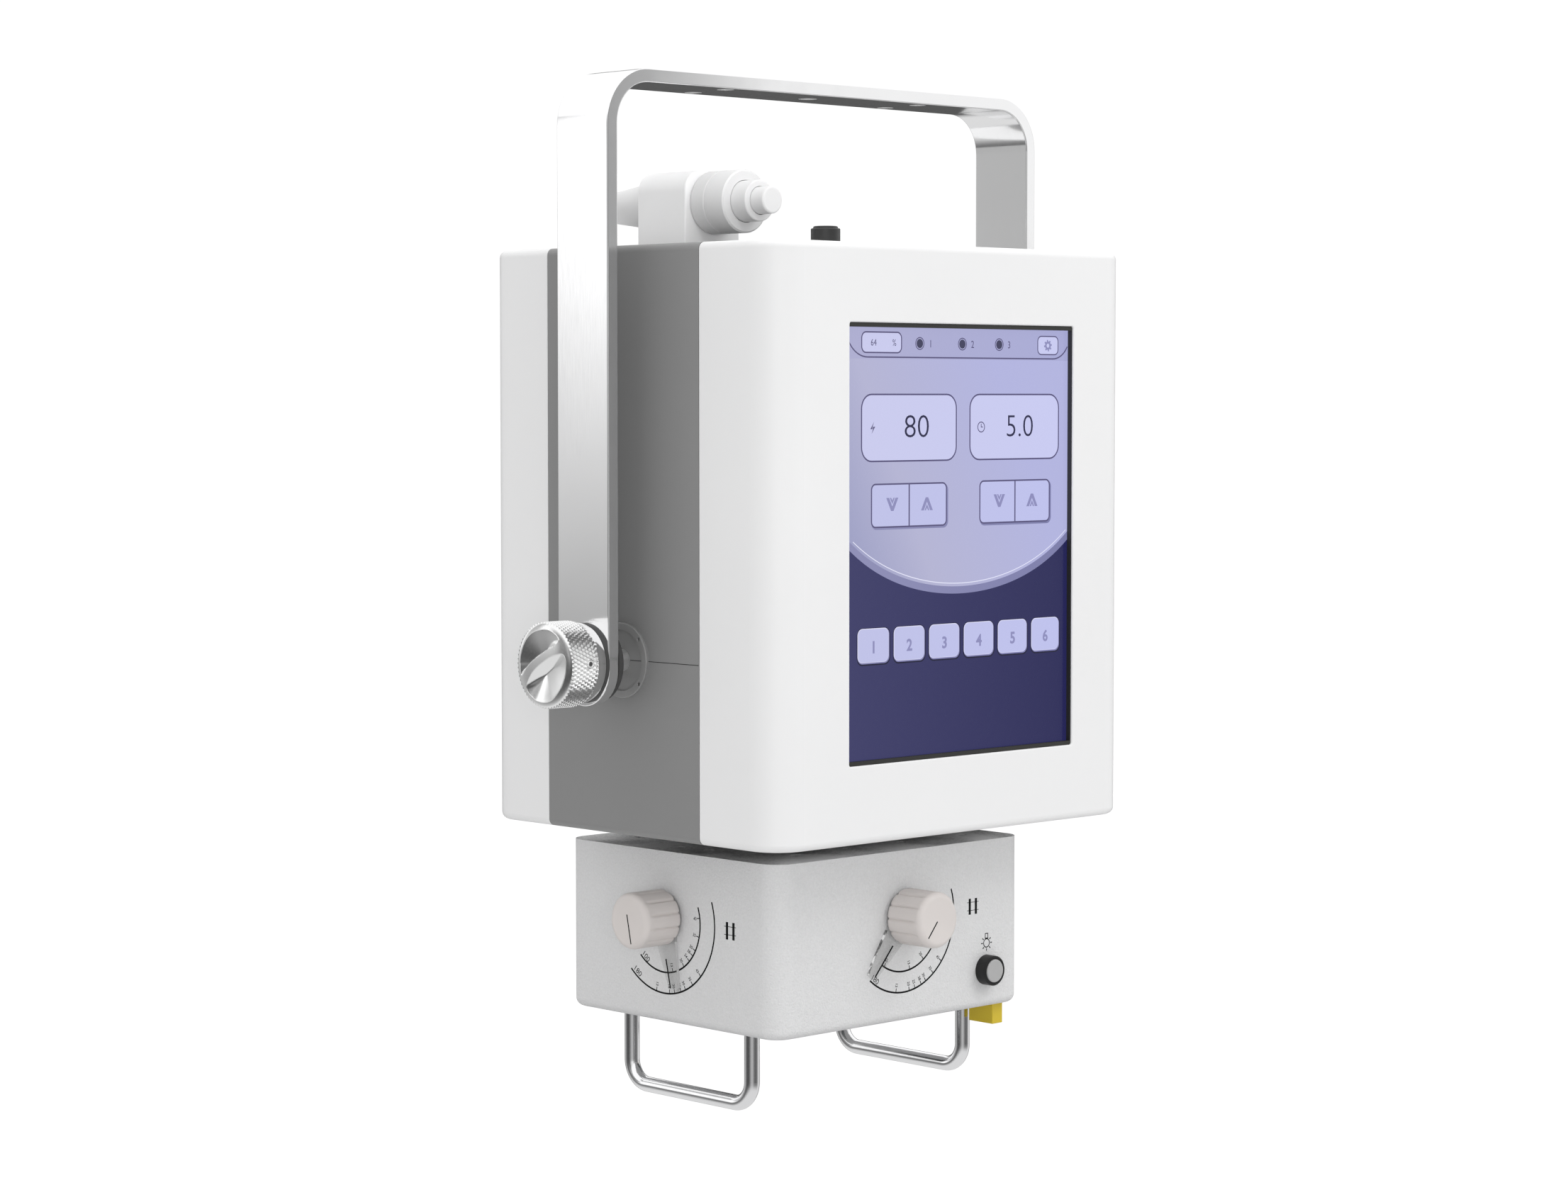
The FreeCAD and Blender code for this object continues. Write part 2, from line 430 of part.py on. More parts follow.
# exit port, knob bushes, lamp button, tape slot, rail holes
hous = hous.cut(box(-45, 45, CYC - 45, CYC + 45, CZ0 - 1, CZ0 + CWALL + 1))
hous = hous.cut(cyl("X", 4.0, -CX - 1, -CX + CWALL + 1, (KX_Y, KX_Z)))
hous = hous.cut(cyl("Y", 4.0, CYF - 1, CYF + CWALL + 1, (KY_X, KY_Z)))
LB_X, LB_Z = 62.5, 62.5
hous = hous.cut(cyl("Y", 6.9, CYF - 1, CYF + CWALL + 1, (LB_X, LB_Z)))
TS_X = 78.75
hous = hous.cut(box(TS_X - 1.2, TS_X + 1.2, -63.0, -48.0, CZ0 - 1, CZ0 + CWALL + 1))
for sx in (-1, 1):
    for y in (RAIL_YF, RAIL_YR):
        hous = hous.cut(cyl("Z", RAIL_R, CZ0 - 1, CZ0 + CWALL + 1, (sx * RAIL_X, y)))
for x, y in ((-80, -59), (-80, 80), (80, 80), (75.0, 10.0)):
    hous = hous.fuse(cyl("Z", 4.2, CZ0 + CWALL - 0.5, CZ1 - PLATE_T, (x, y)))
hous = hous.removeSplitter()
g = RIM_W + 0.05
pl = fillet(box(hx0 + g, hx1 - g, CYF + g, CYR - g, CZ1 - PLATE_T, CZ1), CR - g, is_vertical)
pl = pl.cut(cyl("Z", 21, 100, 140, (0, CYC)))
# screw places round the rim of the plate
RIM = [(-75.5, 20.5), (-73.8, -0.3), (-48.5, 50.0), (-54.5, -46.8), (24.0, -46.0), (70.0, -46.0), (70.0, 66.0), (24.0, 66.0), (-24.0, 66.0), (-62.0, 66.0), (75.0, 10.0), (-16.0, -46.0)]
ts = []
for x, y in RIM:
    pl = pl.cut(cyl("Z", 1.7, 120, 140, (x, y))).cut(cone("Z", 1.7, 3.3, CZ1 - 1.6, CZ1 + 0.001, (x, y)))
    sc = cyl("Z", 1.5, CZ1 - PLATE_T - 5, CZ1 - 0.5, (x, y)).fuse(cone("Z", 1.5, 2.7, CZ1 - 1.7, CZ1 - 0.5, (x, y)))
    sc = sc.cut(box(x - 2.6, x + 2.6, y - 0.35, y + 0.35, CZ1 - 1.2, CZ1))
    ts.append(sc.removeSplitter())
for x, y in RIM:
    hous = hous.cut(cyl("Z", 1.5, CZ1 - PLATE_T - 5, CZ1, (x, y)))
save("collimator_housing", hous)
save("collimator_top_plate", pl)
save("top_plate_screws", compound(ts))
neck = ring("Z", 30.0, 21.0, CZ1, Z0 + WALL - 0.0, (0, CYC))
save("collimator_neck", neck)

# field knobs, pointers, shafts
def gear2d(m, n, bl, rb=None):
    # involute spur gear outline, one tooth centred on +v
    pa = math.radians(20)
    rp = m * n / 2.0
    rbase = rp * math.cos(pa)
    ra, rf = rp + m, rp - 1.25 * m
    inv = lambda a: math.tan(a) - a
    half_t = math.pi / (2 * n) - bl / (2 * rp)
    pts = []
    for i in range(n):
        c = math.pi / 2 - 2 * math.pi * i / n
        fl = []
        r0 = max(rbase, rf)
        for k in range(6):
            r = r0 + (ra - r0) * k / 5.0
            a = math.acos(min(1.0, rbase / r))
            fl.append((r, half_t + inv(pa) - inv(a)))
        left = [(rf, fl[0][1])] + fl
        for r, a in left:
            pts.append((r * math.cos(c + a), r * math.sin(c + a)))
        for r, a in reversed(left):
            pts.append((r * math.cos(c - a), r * math.sin(c - a)))
    return pts


RP = PINION_M * PINION_N / 2.0
BL = 0.30


def rack2d(u0, u1, top):
    # rack outline in (u, v); a tooth gap is centred on u = 0; teeth point to the pinion at the origin
    m = PINION_M
    p = math.pi * m
    t20 = math.tan(math.radians(20))
    vp = RP
    pts = []
    k0 = int(math.ceil((u0 - p / 2) / p)) + 1
    k1 = int(math.floor((u1 - p / 2) / p)) - 1
    root_v, tip_v, back_v = vp + 1.25 * m, vp - m, vp + 6.0
    h = p / 4 - BL / 4
    pts.append((u0, back_v))
    pts.append((u0, root_v))
    for k in range(k0, k1 + 1):
        c = p / 2 + k * p
        pts.append((c - h - 1.25 * m * t20, root_v))
        pts.append((c - h + m * t20, tip_v))
        pts.append((c + h - m * t20, tip_v))
        pts.append((c + h + 1.25 * m * t20, root_v))
    pts.append((u1, root_v))
    pts.append((u1, back_v))
    s = 1 if top else -1
    return [(u, s * v) for u, v in pts]


def knob_x(s_axis, face, c, first):
    # field knob with twelve shallow flutes, its face outward; axis "X" (left) or "Y" (front)
    a_out, a_in = face - FK_OUT, face - POINTER_T - 0.2
    k = cyl(s_axis, FK_R, a_out, a_in, c)
    k = fillet(k, 1.6, lambda e: abs((e.BoundBox.XMin if s_axis == "X" else e.BoundBox.YMin) - a_out) < 1e-4 and
               abs((e.BoundBox.XMax if s_axis == "X" else e.BoundBox.YMax) - a_out) < 1e-4)
    fl = []
    for i in range(12):
        a = 2 * math.pi * i / 12 + math.radians(first)
        cc = (c[0] + (FK_R + 1.9) * math.cos(a), c[1] + (FK_R + 1.9) * math.sin(a))
        fl.append(cyl(s_axis, 3.2, a_out - 1, a_in - 1.6, cc))
    for f in fl:
        k = k.cut(f)
    k = k.cut(cyl(s_axis, 3.0, a_in - 15.5, a_in + 1, c))
    return k


def pointer(s_axis, face, c, ang, sgn):
    # tapered clear plate on a disc; ang from straight down, sgn: direction of positive angle on the first axis
    a = math.radians(ang)
    d = (sgn * math.sin(a), -math.cos(a))
    n = (-d[1], d[0])
    def P(al, w):
        u = c[0] + d[0] * al + n[0] * w
        v = c[1] + d[1] * al + n[1] * w
        a0 = face - POINTER_T - 0.2
        return (a0, u, v) if s_axis == "X" else (u, a0, v)
    vec = (POINTER_T, 0, 0) if s_axis == "X" else (0, POINTER_T, 0)
    p = poly([P(0, 8.9), P(37.6, 3.4), P(39.4, 2.0), P(39.4, -2.0), P(37.6, -3.4), P(0, -8.9)], vec)
    p = p.fuse(cyl(s_axis, 13.2, face - POINTER_T - 0.2, face - 0.2, c))
    p = p.removeSplitter()
    return p.cut(cyl(s_axis, 3.0, face - 10, face + 1, c))


LF = -CX                       # left face
FF = CYF                       # front face
cL, cF = (KX_Y, KX_Z), (KY_X, KY_Z)
save("left_field_knob", knob_x("X", LF, cL, 15.0))
save("front_field_knob", knob_x("Y", FF, cF, 0.0))
save("left_pointer", pointer("X", LF, cL, L_ANG, -1))
save("front_pointer", pointer("Y", FF, cF, F_ANG, 1))

PLX0, PLX1 = -80.0, -75.0      # plane of the left pinion and its racks
PFY0, PFY1 = -45.0, -40.0      # plane of the front pinion and its racks
g = gear2d(PINION_M, PINION_N, BL / 2)
pinL = poly([(PLX0, KX_Y + u, KX_Z + v) for u, v in g], (PLX1 - PLX0, 0, 0))
shL = cyl("X", 3.0, LF - FK_OUT + 8.0, PLX0 + 0.2, cL).fuse(pinL)
save("left_knob_shaft", shL.removeSplitter())
pinF = poly([(KY_X + u, PFY0, KY_Z + v) for u, v in g], (0, PFY1 - PFY0, 0))
shF = cyl("Y", 3.0, FF - FK_OUT + 8.0, PFY0 + 0.2, cF).fuse(pinF)
save("front_knob_shaft", shF.removeSplitter())
bsh = ring("X", 4.0, 3.0 + RUN, LF, LF + CWALL, cL).fuse(ring("X", 7.0, 3.0 + RUN, LF + CWALL, LF + CWALL + 3, cL))
bushes = [bsh.removeSplitter()]
bsh = ring("Y", 4.0, 3.0 + RUN, FF, FF + CWALL, cF).fuse(ring("Y", 7.0, 3.0 + RUN, FF + CWALL, FF + CWALL + 3, cF))
bushes.append(bsh.removeSplitter())
save("knob_shaft_bushes", compound(bushes))

# travel of each rack at rest from the closed position: left 56.4 deg turned, front 0 deg
REST_L = RP * math.radians(56.4)
GAP0 = 0.4
tr = 21.5
# left pair: top rack moves +Y and carries the rear blade, bottom rack moves -Y and carries the front blade
def blade_left(top):
    s = 1 if top else -1
    u0, u1 = (-18.5, 41.0) if top else (-41.0, 18.5)
    r = poly([(PLX0, KX_Y + u, KX_Z + v) for u, v in rack2d(u0, u1, top)], (PLX1 - PLX0, 0, 0))
    ye = KX_Y + s * 41.0
    vtop = KX_Z + (RP + 6.0 if top else -(RP + 2.0))
    zb = 54.0
    arm_y = sorted((ye - s * 6.0, ye))
    arm = box(PLX0, PLX1, arm_y[0], arm_y[1], zb, vtop)
    y_in = CYC + s * (GAP0 + REST_L)
    yy = sorted((y_in, y_in + s * 40.0))
    bl = box(PLX0, 38.0, yy[0], yy[1], zb, zb + 2.0)
    return r.fuse(arm).fuse(bl).removeSplitter()


save("rear_shutter", blade_left(True))
save("front_shutter", blade_left(False))


def blade_front(top):
    # turning the front knob open moves the top rack to -X and the bottom rack to +X
    s = -1 if top else 1
    u0, u1 = (-33.0, 26.0) if top else (-26.0, 33.0)
    r = poly([(KY_X + u, PFY0, KY_Z + v) for u, v in rack2d(u0, u1, top)], (0, PFY1 - PFY0, 0))
    xe = s * 33.0
    vtop = KY_Z + (RP + 6.0 if top else -(RP + 2.0))
    zb = 60.0
    ax = sorted((xe - s * 6.0, xe))
    arm = box(ax[0], ax[1], PFY0, PFY1, zb, vtop)
    xx = sorted((s * GAP0, s * (GAP0 + 38.0)))
    bl = box(xx[0], xx[1], PFY0, CYC + 38.0, zb, zb + 2.0)
    return r.fuse(arm).fuse(bl).removeSplitter()


save("left_shutter", blade_front(True))
save("right_shutter", blade_front(False))

# light path
mz = 97.0
mir = box(-24, 24, -26, 26, -0.75, 0.75)
mir.rotate(V(0, 0, 0), V(1, 0, 0), 45)
mir.translate(V(0, CYC + 3, mz))
save("field_mirror", mir)
lamp = cyl("Y", 5.0, 52, 66, (0, mz)).fuse(cyl("Y", 9.0, 66, 80, (0, mz)))
save("field_lamp", lamp.removeSplitter())
save("exit_window", box(-52, 52, CYC - 52, CYC + 52, CZ0 + CWALL, CZ0 + CWALL + 2.0))

# lamp button
lbc = (LB_X, LB_Z)
lr = cyl("Y", 8.0, FF - 6.7, FF, lbc)
lr = fillet(lr, 0.7, lambda e: abs(e.BoundBox.YMin - (FF - 6.7)) < 1e-4 and abs(e.BoundBox.YMax - (FF - 6.7)) < 1e-4)
lr = lr.fuse(cyl("Y", 6.8, FF - 0.1, FF + 18, lbc))
lr = lr.cut(cyl("Y", 6.5, FF - 8, FF - 0.5, lbc)).cut(cyl("Y", 2.6, FF - 1, FF + 14, lbc))
save("lamp_button_ring", lr.removeSplitter())
lc = cyl("Y", 6.2, FF - 7.3, FF - 3.0, lbc)
lc = fillet(lc, 0.8, lambda e: abs(e.BoundBox.YMin - (FF - 7.3)) < 1e-4 and abs(e.BoundBox.YMax - (FF - 7.3)) < 1e-4)
lc = lc.fuse(cyl("Y", 2.3, FF - 3.1, FF + 9, lbc))
save("lamp_button_cap", lc.removeSplitter())

# ---------------------------------------------------------------- rails
def rail(sx):
    x = sx * RAIL_X
    zc = RAIL_R
    y0, y1, r = RAIL_YF, RAIL_YR, RAIL_BEND
    zt = CZ0 + CWALL + 4.5
    s2 = math.sqrt(0.5)
    e = [Part.makeLine(V(x, y0, zt), V(x, y0, zc + r)),
         Part.Arc(V(x, y0, zc + r), V(x, y0 + r - r * s2, zc + r - r * s2), V(x, y0 + r, zc)).toShape(),
         Part.makeLine(V(x, y0 + r, zc), V(x, y1 - r, zc)),
         Part.Arc(V(x, y1 - r, zc), V(x, y1 - r + r * s2, zc + r - r * s2), V(x, y1, zc + r)).toShape(),
         Part.makeLine(V(x, y1, zc + r), V(x, y1, zt))]
    path = Part.Wire(e)
    prof = Part.Wire(Part.makeCircle(RAIL_R, V(x, y0, zt), V(0, 0, 1)))
    return path.makePipeShell([prof], True, False)


save("left_rail", rail(-1))
save("right_rail", rail(1))
nuts = []
for sx in (-1, 1):
    for y in (RAIL_YF, RAIL_YR):
        x = sx * RAIL_X
        hx = poly([(x + 7.2 * math.cos(math.radians(a)), y + 7.2 * math.sin(math.radians(a)), CZ0 + CWALL) for a in range(0, 360, 60)], (0, 0, 4.0))
        nuts.append(hx.cut(cyl("Z", RAIL_R, 30, 60, (x, y))))
save("rail_nuts", compound(nuts))

# ---------------------------------------------------------------- tape measure
TC = (66.0, 99.0)
tcase = cyl("Y", 18.0, -65.5, -46.5, TC).fuse(box(TS_X - 3, TS_X + 5, -65.5, -46.5, 78.0, 99.0))
tcase = tcase.cut(cyl("Y", 16.5, -64.2, -48.0, TC)).cut(box(TS_X - 1.6, TS_X + 1.6, -64.0, -48.4, 70.0, 99.0))
save("tape_case", tcase.removeSplitter())
REEL_R = 12.1
save("tape_reel", ring("Y", REEL_R, 2.5, -63.8, -48.6, TC))
strip = box(TS_X - 0.25, TS_X + 0.25, -62.0, -49.0, 41.9, 100.0)
tab = box(75.0, 82.9, -64.2, -46.8, 30.7, 41.9)
tab = fillet(tab, 0.4, lambda e: True)
save("tape_tab", tab.fuse(strip).removeSplitter())
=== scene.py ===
import json
import math

import bmesh
import bpy
import numpy as np
from mathutils import Matrix, Vector, geometry


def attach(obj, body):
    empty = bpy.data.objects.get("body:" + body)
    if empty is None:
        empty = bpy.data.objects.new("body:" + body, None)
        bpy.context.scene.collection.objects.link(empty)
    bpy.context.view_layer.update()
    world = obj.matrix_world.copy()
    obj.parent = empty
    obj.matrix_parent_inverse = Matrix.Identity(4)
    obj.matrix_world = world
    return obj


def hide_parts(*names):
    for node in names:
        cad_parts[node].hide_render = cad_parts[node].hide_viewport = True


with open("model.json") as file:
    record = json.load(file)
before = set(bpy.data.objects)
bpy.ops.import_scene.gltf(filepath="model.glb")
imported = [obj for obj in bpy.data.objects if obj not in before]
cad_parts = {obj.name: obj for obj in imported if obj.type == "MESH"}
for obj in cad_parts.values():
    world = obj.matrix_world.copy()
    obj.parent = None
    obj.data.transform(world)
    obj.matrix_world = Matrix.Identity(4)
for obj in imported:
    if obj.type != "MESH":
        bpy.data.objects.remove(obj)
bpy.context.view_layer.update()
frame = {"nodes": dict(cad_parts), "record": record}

MM = 0.001
scene = bpy.context.scene
scene.view_settings.view_transform = "Standard"
scene.view_settings.look = "None"

# ------------------------------------------------------------------ sizes, mm
DISPLAY_Y = -107.0                    # front of the display glass
LEFT_X, FRONT_Y = -92.35, -70.7       # faces of the collimator housing
PIV_Y, PIV_Z, YK_OUT = 1.45, 234.2, 157.7
LK_Y, LK_Z = 13.3, 97.8               # left field knob axis
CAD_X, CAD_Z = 0.0, 97.8                # front field knob axis

# ------------------------------------------------------------------ camera
cam_data = bpy.data.cameras.new("camera")
cam_data.sensor_fit = "HORIZONTAL"
cam_data.sensor_width = 36.0
cam_data.lens = 82.118
cam_data.clip_end = 200.0
camera = bpy.data.objects.new("camera", cam_data)
scene.collection.objects.link(camera)
yaw, pitch = math.radians(43.93), math.radians(3.15)
fwd = Vector((math.sin(yaw) * math.cos(pitch), math.cos(yaw) * math.cos(pitch), -math.sin(pitch)))
right = Vector((math.cos(yaw), -math.sin(yaw), 0.0))
up = right.cross(fwd)
rot = Matrix((right, up, -fwd)).transposed()
camera.matrix_world = Matrix.Translation(Vector((-1.33041, -1.36145, 0.36846))) @ rot.to_4x4()
scene.camera = camera


# ------------------------------------------------------------------ materials
def lin(*c):
    out = []
    for v in c:
        v = v / 255.0
        out.append(v / 12.92 if v <= 0.04045 else ((v + 0.055) / 1.055) ** 2.4)
    if len(out) == 1:
        out = out * 3
    return tuple(out)


class Shade:
    def __init__(self, name, **values):
        self.m = bpy.data.materials.new(name)
        self.m.use_nodes = True
        self.t = self.m.node_tree
        self.p = self.t.nodes["Principled BSDF"]
        self.c = self.t.nodes.new("ShaderNodeTexCoord")
        for k, v in values.items():
            s = self.p.inputs[k.replace("_", " ")]
            s.default_value = (*v, 1.0) if isinstance(v, tuple) and len(v) == 3 and s.type == "RGBA" else v

    def node(self, kind, **inputs):
        n = self.t.nodes.new(kind)
        for k, v in inputs.items():
            n.inputs[k.replace("_", " ")].default_value = v
        return n

    def link(self, a, b):
        self.t.links.new(a, b)

    def coords(self, scale=(1, 1, 1), turn=(0, 0, 0)):
        n = self.t.nodes.new("ShaderNodeMapping")
        n.inputs["Scale"].default_value = scale
        n.inputs["Rotation"].default_value = turn
        self.link(self.c.outputs["Object"], n.inputs["Vector"])
        return n.outputs["Vector"]

    def noise(self, scale, detail=3.0, rough=0.5, vec=None):
        n = self.node("ShaderNodeTexNoise", Scale=scale, Detail=detail, Roughness=rough)
        self.link(vec if vec is not None else self.c.outputs["Object"], n.inputs["Vector"])
        return n.outputs["Fac"]

    def ranged(self, fac, lo, hi, a=0.3, b=0.7):
        n = self.node("ShaderNodeMapRange")
        n.inputs["From Min"].default_value = a
        n.inputs["From Max"].default_value = b
        n.inputs["To Min"].default_value = lo
        n.inputs["To Max"].default_value = hi
        self.link(fac, n.inputs["Value"])
        return n.outputs["Result"]

    def ramp(self, fac, stops):
        n = self.t.nodes.new("ShaderNodeValToRGB")
        e = n.color_ramp.elements
        while len(e) < len(stops):
            e.new(0.5)
        for i, (pos, col) in enumerate(stops):
            e[i].position = pos
            e[i].color = (*col, 1.0)
        self.link(fac, n.inputs["Fac"])
        return n.outputs["Color"]

    def colour(self, fac, c0, c1, a=0.3, b=0.7):
        self.link(self.ramp(self.ranged(fac, 0.0, 1.0, a, b), [(0.0, c0), (1.0, c1)]), self.p.inputs["Base Color"])
        return self

    def rough(self, fac, lo, hi, a=0.3, b=0.7):
        self.link(self.ranged(fac, lo, hi, a, b), self.p.inputs["Roughness"])
        return self

    def bump(self, fac, strength, distance_mm, invert=False, after=None):
        n = self.node("ShaderNodeBump", Strength=strength, Distance=distance_mm * MM)
        n.invert = invert
        self.link(fac, n.inputs["Height"])
        if after is not None:
            self.link(after, n.inputs["Normal"])
        self.link(n.outputs["Normal"], self.p.inputs["Normal"])
        return n.outputs["Normal"]


def moulded(name, c0, c1, r0, r1, grain=1400.0, strength=0.12, depth=0.03, **values):
    s = Shade(name, **values)
    big = s.noise(6.0, 2.0)
    fine = s.noise(grain, 2.0, 0.6)
    s.colour(big, c0, c1)
    s.rough(s.noise(60.0, 3.0), r0, r1)
    s.bump(fine, strength, depth)
    return s.m


MATS = {}
MATS["white_shell"] = moulded("white_shell", (0.815, 0.815, 0.818), (0.835, 0.835, 0.837), 0.34, 0.42)
MATS["grey_shell"] = moulded("grey_shell", lin(134), lin(137), 0.36, 0.44, Specular_IOR_Level=0.4)

def turned_grey():
    # turned ring: fine concentric lines round the pivot axis
    s = Shade("flange_grey", Specular_IOR_Level=0.6)
    n = s.t.nodes.new("ShaderNodeMapping")
    n.inputs["Location"].default_value = (0.0, -PIV_Y * MM, -PIV_Z * MM)
    n.inputs["Scale"].default_value = (0.0, 1.0, 1.0)
    s.link(s.c.outputs["Object"], n.inputs["Vector"])
    r = s.t.nodes.new("ShaderNodeVectorMath")
    r.operation = "LENGTH"
    s.link(n.outputs["Vector"], r.inputs[0])
    k = s.t.nodes.new("ShaderNodeMath")
    k.operation = "MULTIPLY"
    k.inputs[1].default_value = 13000.0
    s.link(r.outputs["Value"], k.inputs[0])
    w = s.t.nodes.new("ShaderNodeMath")
    w.operation = "SINE"
    s.link(k.outputs["Value"], w.inputs[0])
    line = s.ranged(w.outputs["Value"], 0.0, 1.0, -1.0, 1.0)
    s.colour(line, lin(134), lin(146), 0.0, 1.0)
    s.rough(s.noise(200.0, 3.0), 0.28, 0.38)
    s.bump(line, 0.25, 0.03)
    return s.m


MATS["flange_grey"] = turned_grey()
MATS["black_plastic"] = moulded("black_plastic", lin(44), lin(50), 0.34, 0.44, grain=2200.0, strength=0.15)
MATS["dark_bezel"] = moulded("dark_bezel", lin(40, 40, 38), lin(46, 46, 44), 0.45, 0.55)
MATS["rubber_washer"] = moulded("rubber_washer", lin(60), lin(68), 0.5, 0.62, grain=1600.0, strength=0.3)
MATS["grey_cap"] = moulded("grey_cap", lin(168), lin(174), 0.36, 0.44, grain=2000.0)
MATS["tape_yellow"] = moulded("tape_yellow", lin(206, 180, 40), lin(214, 188, 48), 0.42, 0.52, grain=900.0, strength=0.25)


MATS["switch_white"] = moulded("switch_white", (0.745, 0.745, 0.748), (0.77, 0.77, 0.773), 0.36, 0.44)
# the holder's white is set much brighter than the switch's: painted light that makes up for the shade the yoke and the
# casing top throw on it
MATS["holder_painted_light_white"] = moulded("holder_painted_light_white", (0.95, 0.95, 0.952), (0.97, 0.97, 0.972), 0.34, 0.42)


def knob_plastic():
    s = Shade("knob_plastic", Specular_IOR_Level=0.4)
    s.colour(s.noise(40.0, 3.0), lin(211, 205, 202), lin(216, 210, 207))
    s.rough(s.noise(200.0, 3.0), 0.46, 0.56)
    s.bump(s.noise(1800.0, 2.0), 0.12, 0.04)
    return s.m


def powder_white():
    s = Shade("powder_white")
    s.colour(s.noise(900.0, 3.0, 0.6), (0.726, 0.726, 0.731), (0.766, 0.766, 0.771), 0.36, 0.64)
    s.rough(s.noise(300.0, 3.0), 0.46, 0.58)
    first = s.bump(s.noise(980.0, 3.0, 0.6), 1.0, 0.6)
    s.bump(s.noise(1900.0, 2.0, 0.5), 0.4, 0.08, after=first)
    return s.m


MATS["knob_plastic"] = knob_plastic()
MATS["powder_white"] = powder_white()


def metal(name, base0, base1, r0, r1, streak=None, grain=700.0, strength=0.1, depth=0.02, **values):
    s = Shade(name, Metallic=1.0, **values)
    vec = s.coords(streak) if streak else None
    s.colour(s.noise(12.0, 3.0), base0, base1)
    s.rough(s.noise(grain, 3.0, 0.6, vec), r0, r1)
    s.bump(s.noise(grain * 1.3, 2.0, 0.6, vec), strength, depth)
    return s.m


MATS["bright_aluminium"] = metal("bright_aluminium", (0.86, 0.86, 0.865), (0.90, 0.90, 0.905), 0.09, 0.15,
                                 streak=(0.05, 1.0, 0.05), grain=1500.0, strength=0.02, depth=0.01)
MATS["knurled_metal"] = metal("knurled_metal", (0.84, 0.84, 0.84), (0.90, 0.90, 0.90), 0.13, 0.20, grain=900.0,
                              strength=0.05, depth=0.01)
MATS["chrome_rod"] = metal("chrome_rod", (0.80, 0.80, 0.81), (0.86, 0.86, 0.87), 0.10, 0.17, grain=900.0,
                           strength=0.05, depth=0.01)
MATS["steel"] = metal("steel", (0.60, 0.60, 0.60), (0.70, 0.70, 0.70), 0.25, 0.38)
MATS["tank_aluminium"] = metal("tank_aluminium", (0.55, 0.55, 0.56), (0.65, 0.65, 0.66), 0.40, 0.55, grain=300.0,
                               strength=0.4, depth=0.15)
MATS["copper"] = metal("copper", (0.62, 0.28, 0.14), (0.72, 0.34, 0.18), 0.28, 0.42)
MATS["lead_steel"] = metal("lead_steel", (0.24, 0.25, 0.26), (0.32, 0.33, 0.34), 0.45, 0.6, grain=200.0, strength=0.3,
                           depth=0.08)
MATS["mirror_glass"] = metal("mirror_glass", (0.88, 0.89, 0.90), (0.92, 0.93, 0.94), 0.02, 0.05)
MATS["core_ferrite"] = moulded("core_ferrite", (0.035, 0.032, 0.03), (0.05, 0.046, 0.042), 0.5, 0.7, grain=300.0,
                               strength=0.4, depth=0.2)
MATS["board"] = moulded("board", (0.012, 0.10, 0.035), (0.02, 0.15, 0.055), 0.35, 0.5, grain=250.0, strength=0.3,
                        depth=0.1)
MATS["lcd_frame"] = metal("lcd_frame", (0.5, 0.5, 0.5), (0.6, 0.6, 0.6), 0.3, 0.4)


def display_glass():
    s = Shade("display_glass", Coat_Weight=1.0, Coat_Roughness=0.03)
    s.colour(s.noise(4.0, 2.0), (0.010, 0.010, 0.014), (0.016, 0.016, 0.022))
    s.rough(s.noise(80.0, 3.0), 0.06, 0.10)
    return s.m


def clear(name, tint, rough0, rough1, ior):
    s = Shade(name, Transmission_Weight=1.0, IOR=ior)
    s.colour(s.noise(50.0, 2.0), tint, tuple(min(1.0, v + 0.01) for v in tint))
    s.rough(s.noise(300.0, 3.0), rough0, rough1)
    return s.m


MATS["display_glass"] = display_glass()


def clear_plate():
    # polished clear plate over a pale face: a light grey film with a glossy skin
    s = Shade("acrylic", Alpha=0.10, Specular_IOR_Level=0.2)
    s.colour(s.noise(60.0, 2.0), (0.30, 0.30, 0.295), (0.34, 0.34, 0.335))
    s.rough(s.noise(300.0, 3.0), 0.05, 0.10)
    return s.m


def cut_edge():
    # cut edges of the clear plate: short dark and white glints painted into their colour along their length
    s = Shade("cut_edge", Specular_IOR_Level=0.5)
    s.link(s.ramp(s.noise(230.0, 3.0, 0.6), [(0.44, (0.12, 0.12, 0.12)), (0.52, (0.26, 0.26, 0.26)), (0.60, (0.92, 0.92, 0.92))]),
           s.p.inputs["Base Color"])
    s.rough(s.noise(500.0, 2.0), 0.10, 0.22)
    return s.m


# flat grey for the left plate's cut edge in place of a clear edge: painted shade for how the edge looks
MATS["clear_edge"] = moulded("clear_edge", (0.52, 0.52, 0.52), (0.64, 0.64, 0.64), 0.1, 0.2, grain=600.0, strength=0.1)
MATS["acrylic"] = clear_plate()
MATS["cut_edge"] = cut_edge()
MATS["hole_wall"] = metal("hole_wall", (0.80, 0.80, 0.80), (0.90, 0.90, 0.90), 0.45, 0.6, grain=1500.0, strength=0.3, depth=0.03)
MATS["deep_black"] = moulded("deep_black", lin(22), lin(27), 0.42, 0.52, grain=2200.0, strength=0.15, Specular_IOR_Level=0.35)
MATS["tube_glass"] = clear("tube_glass", (0.94, 0.96, 0.97), 0.0, 0.02, 1.47)


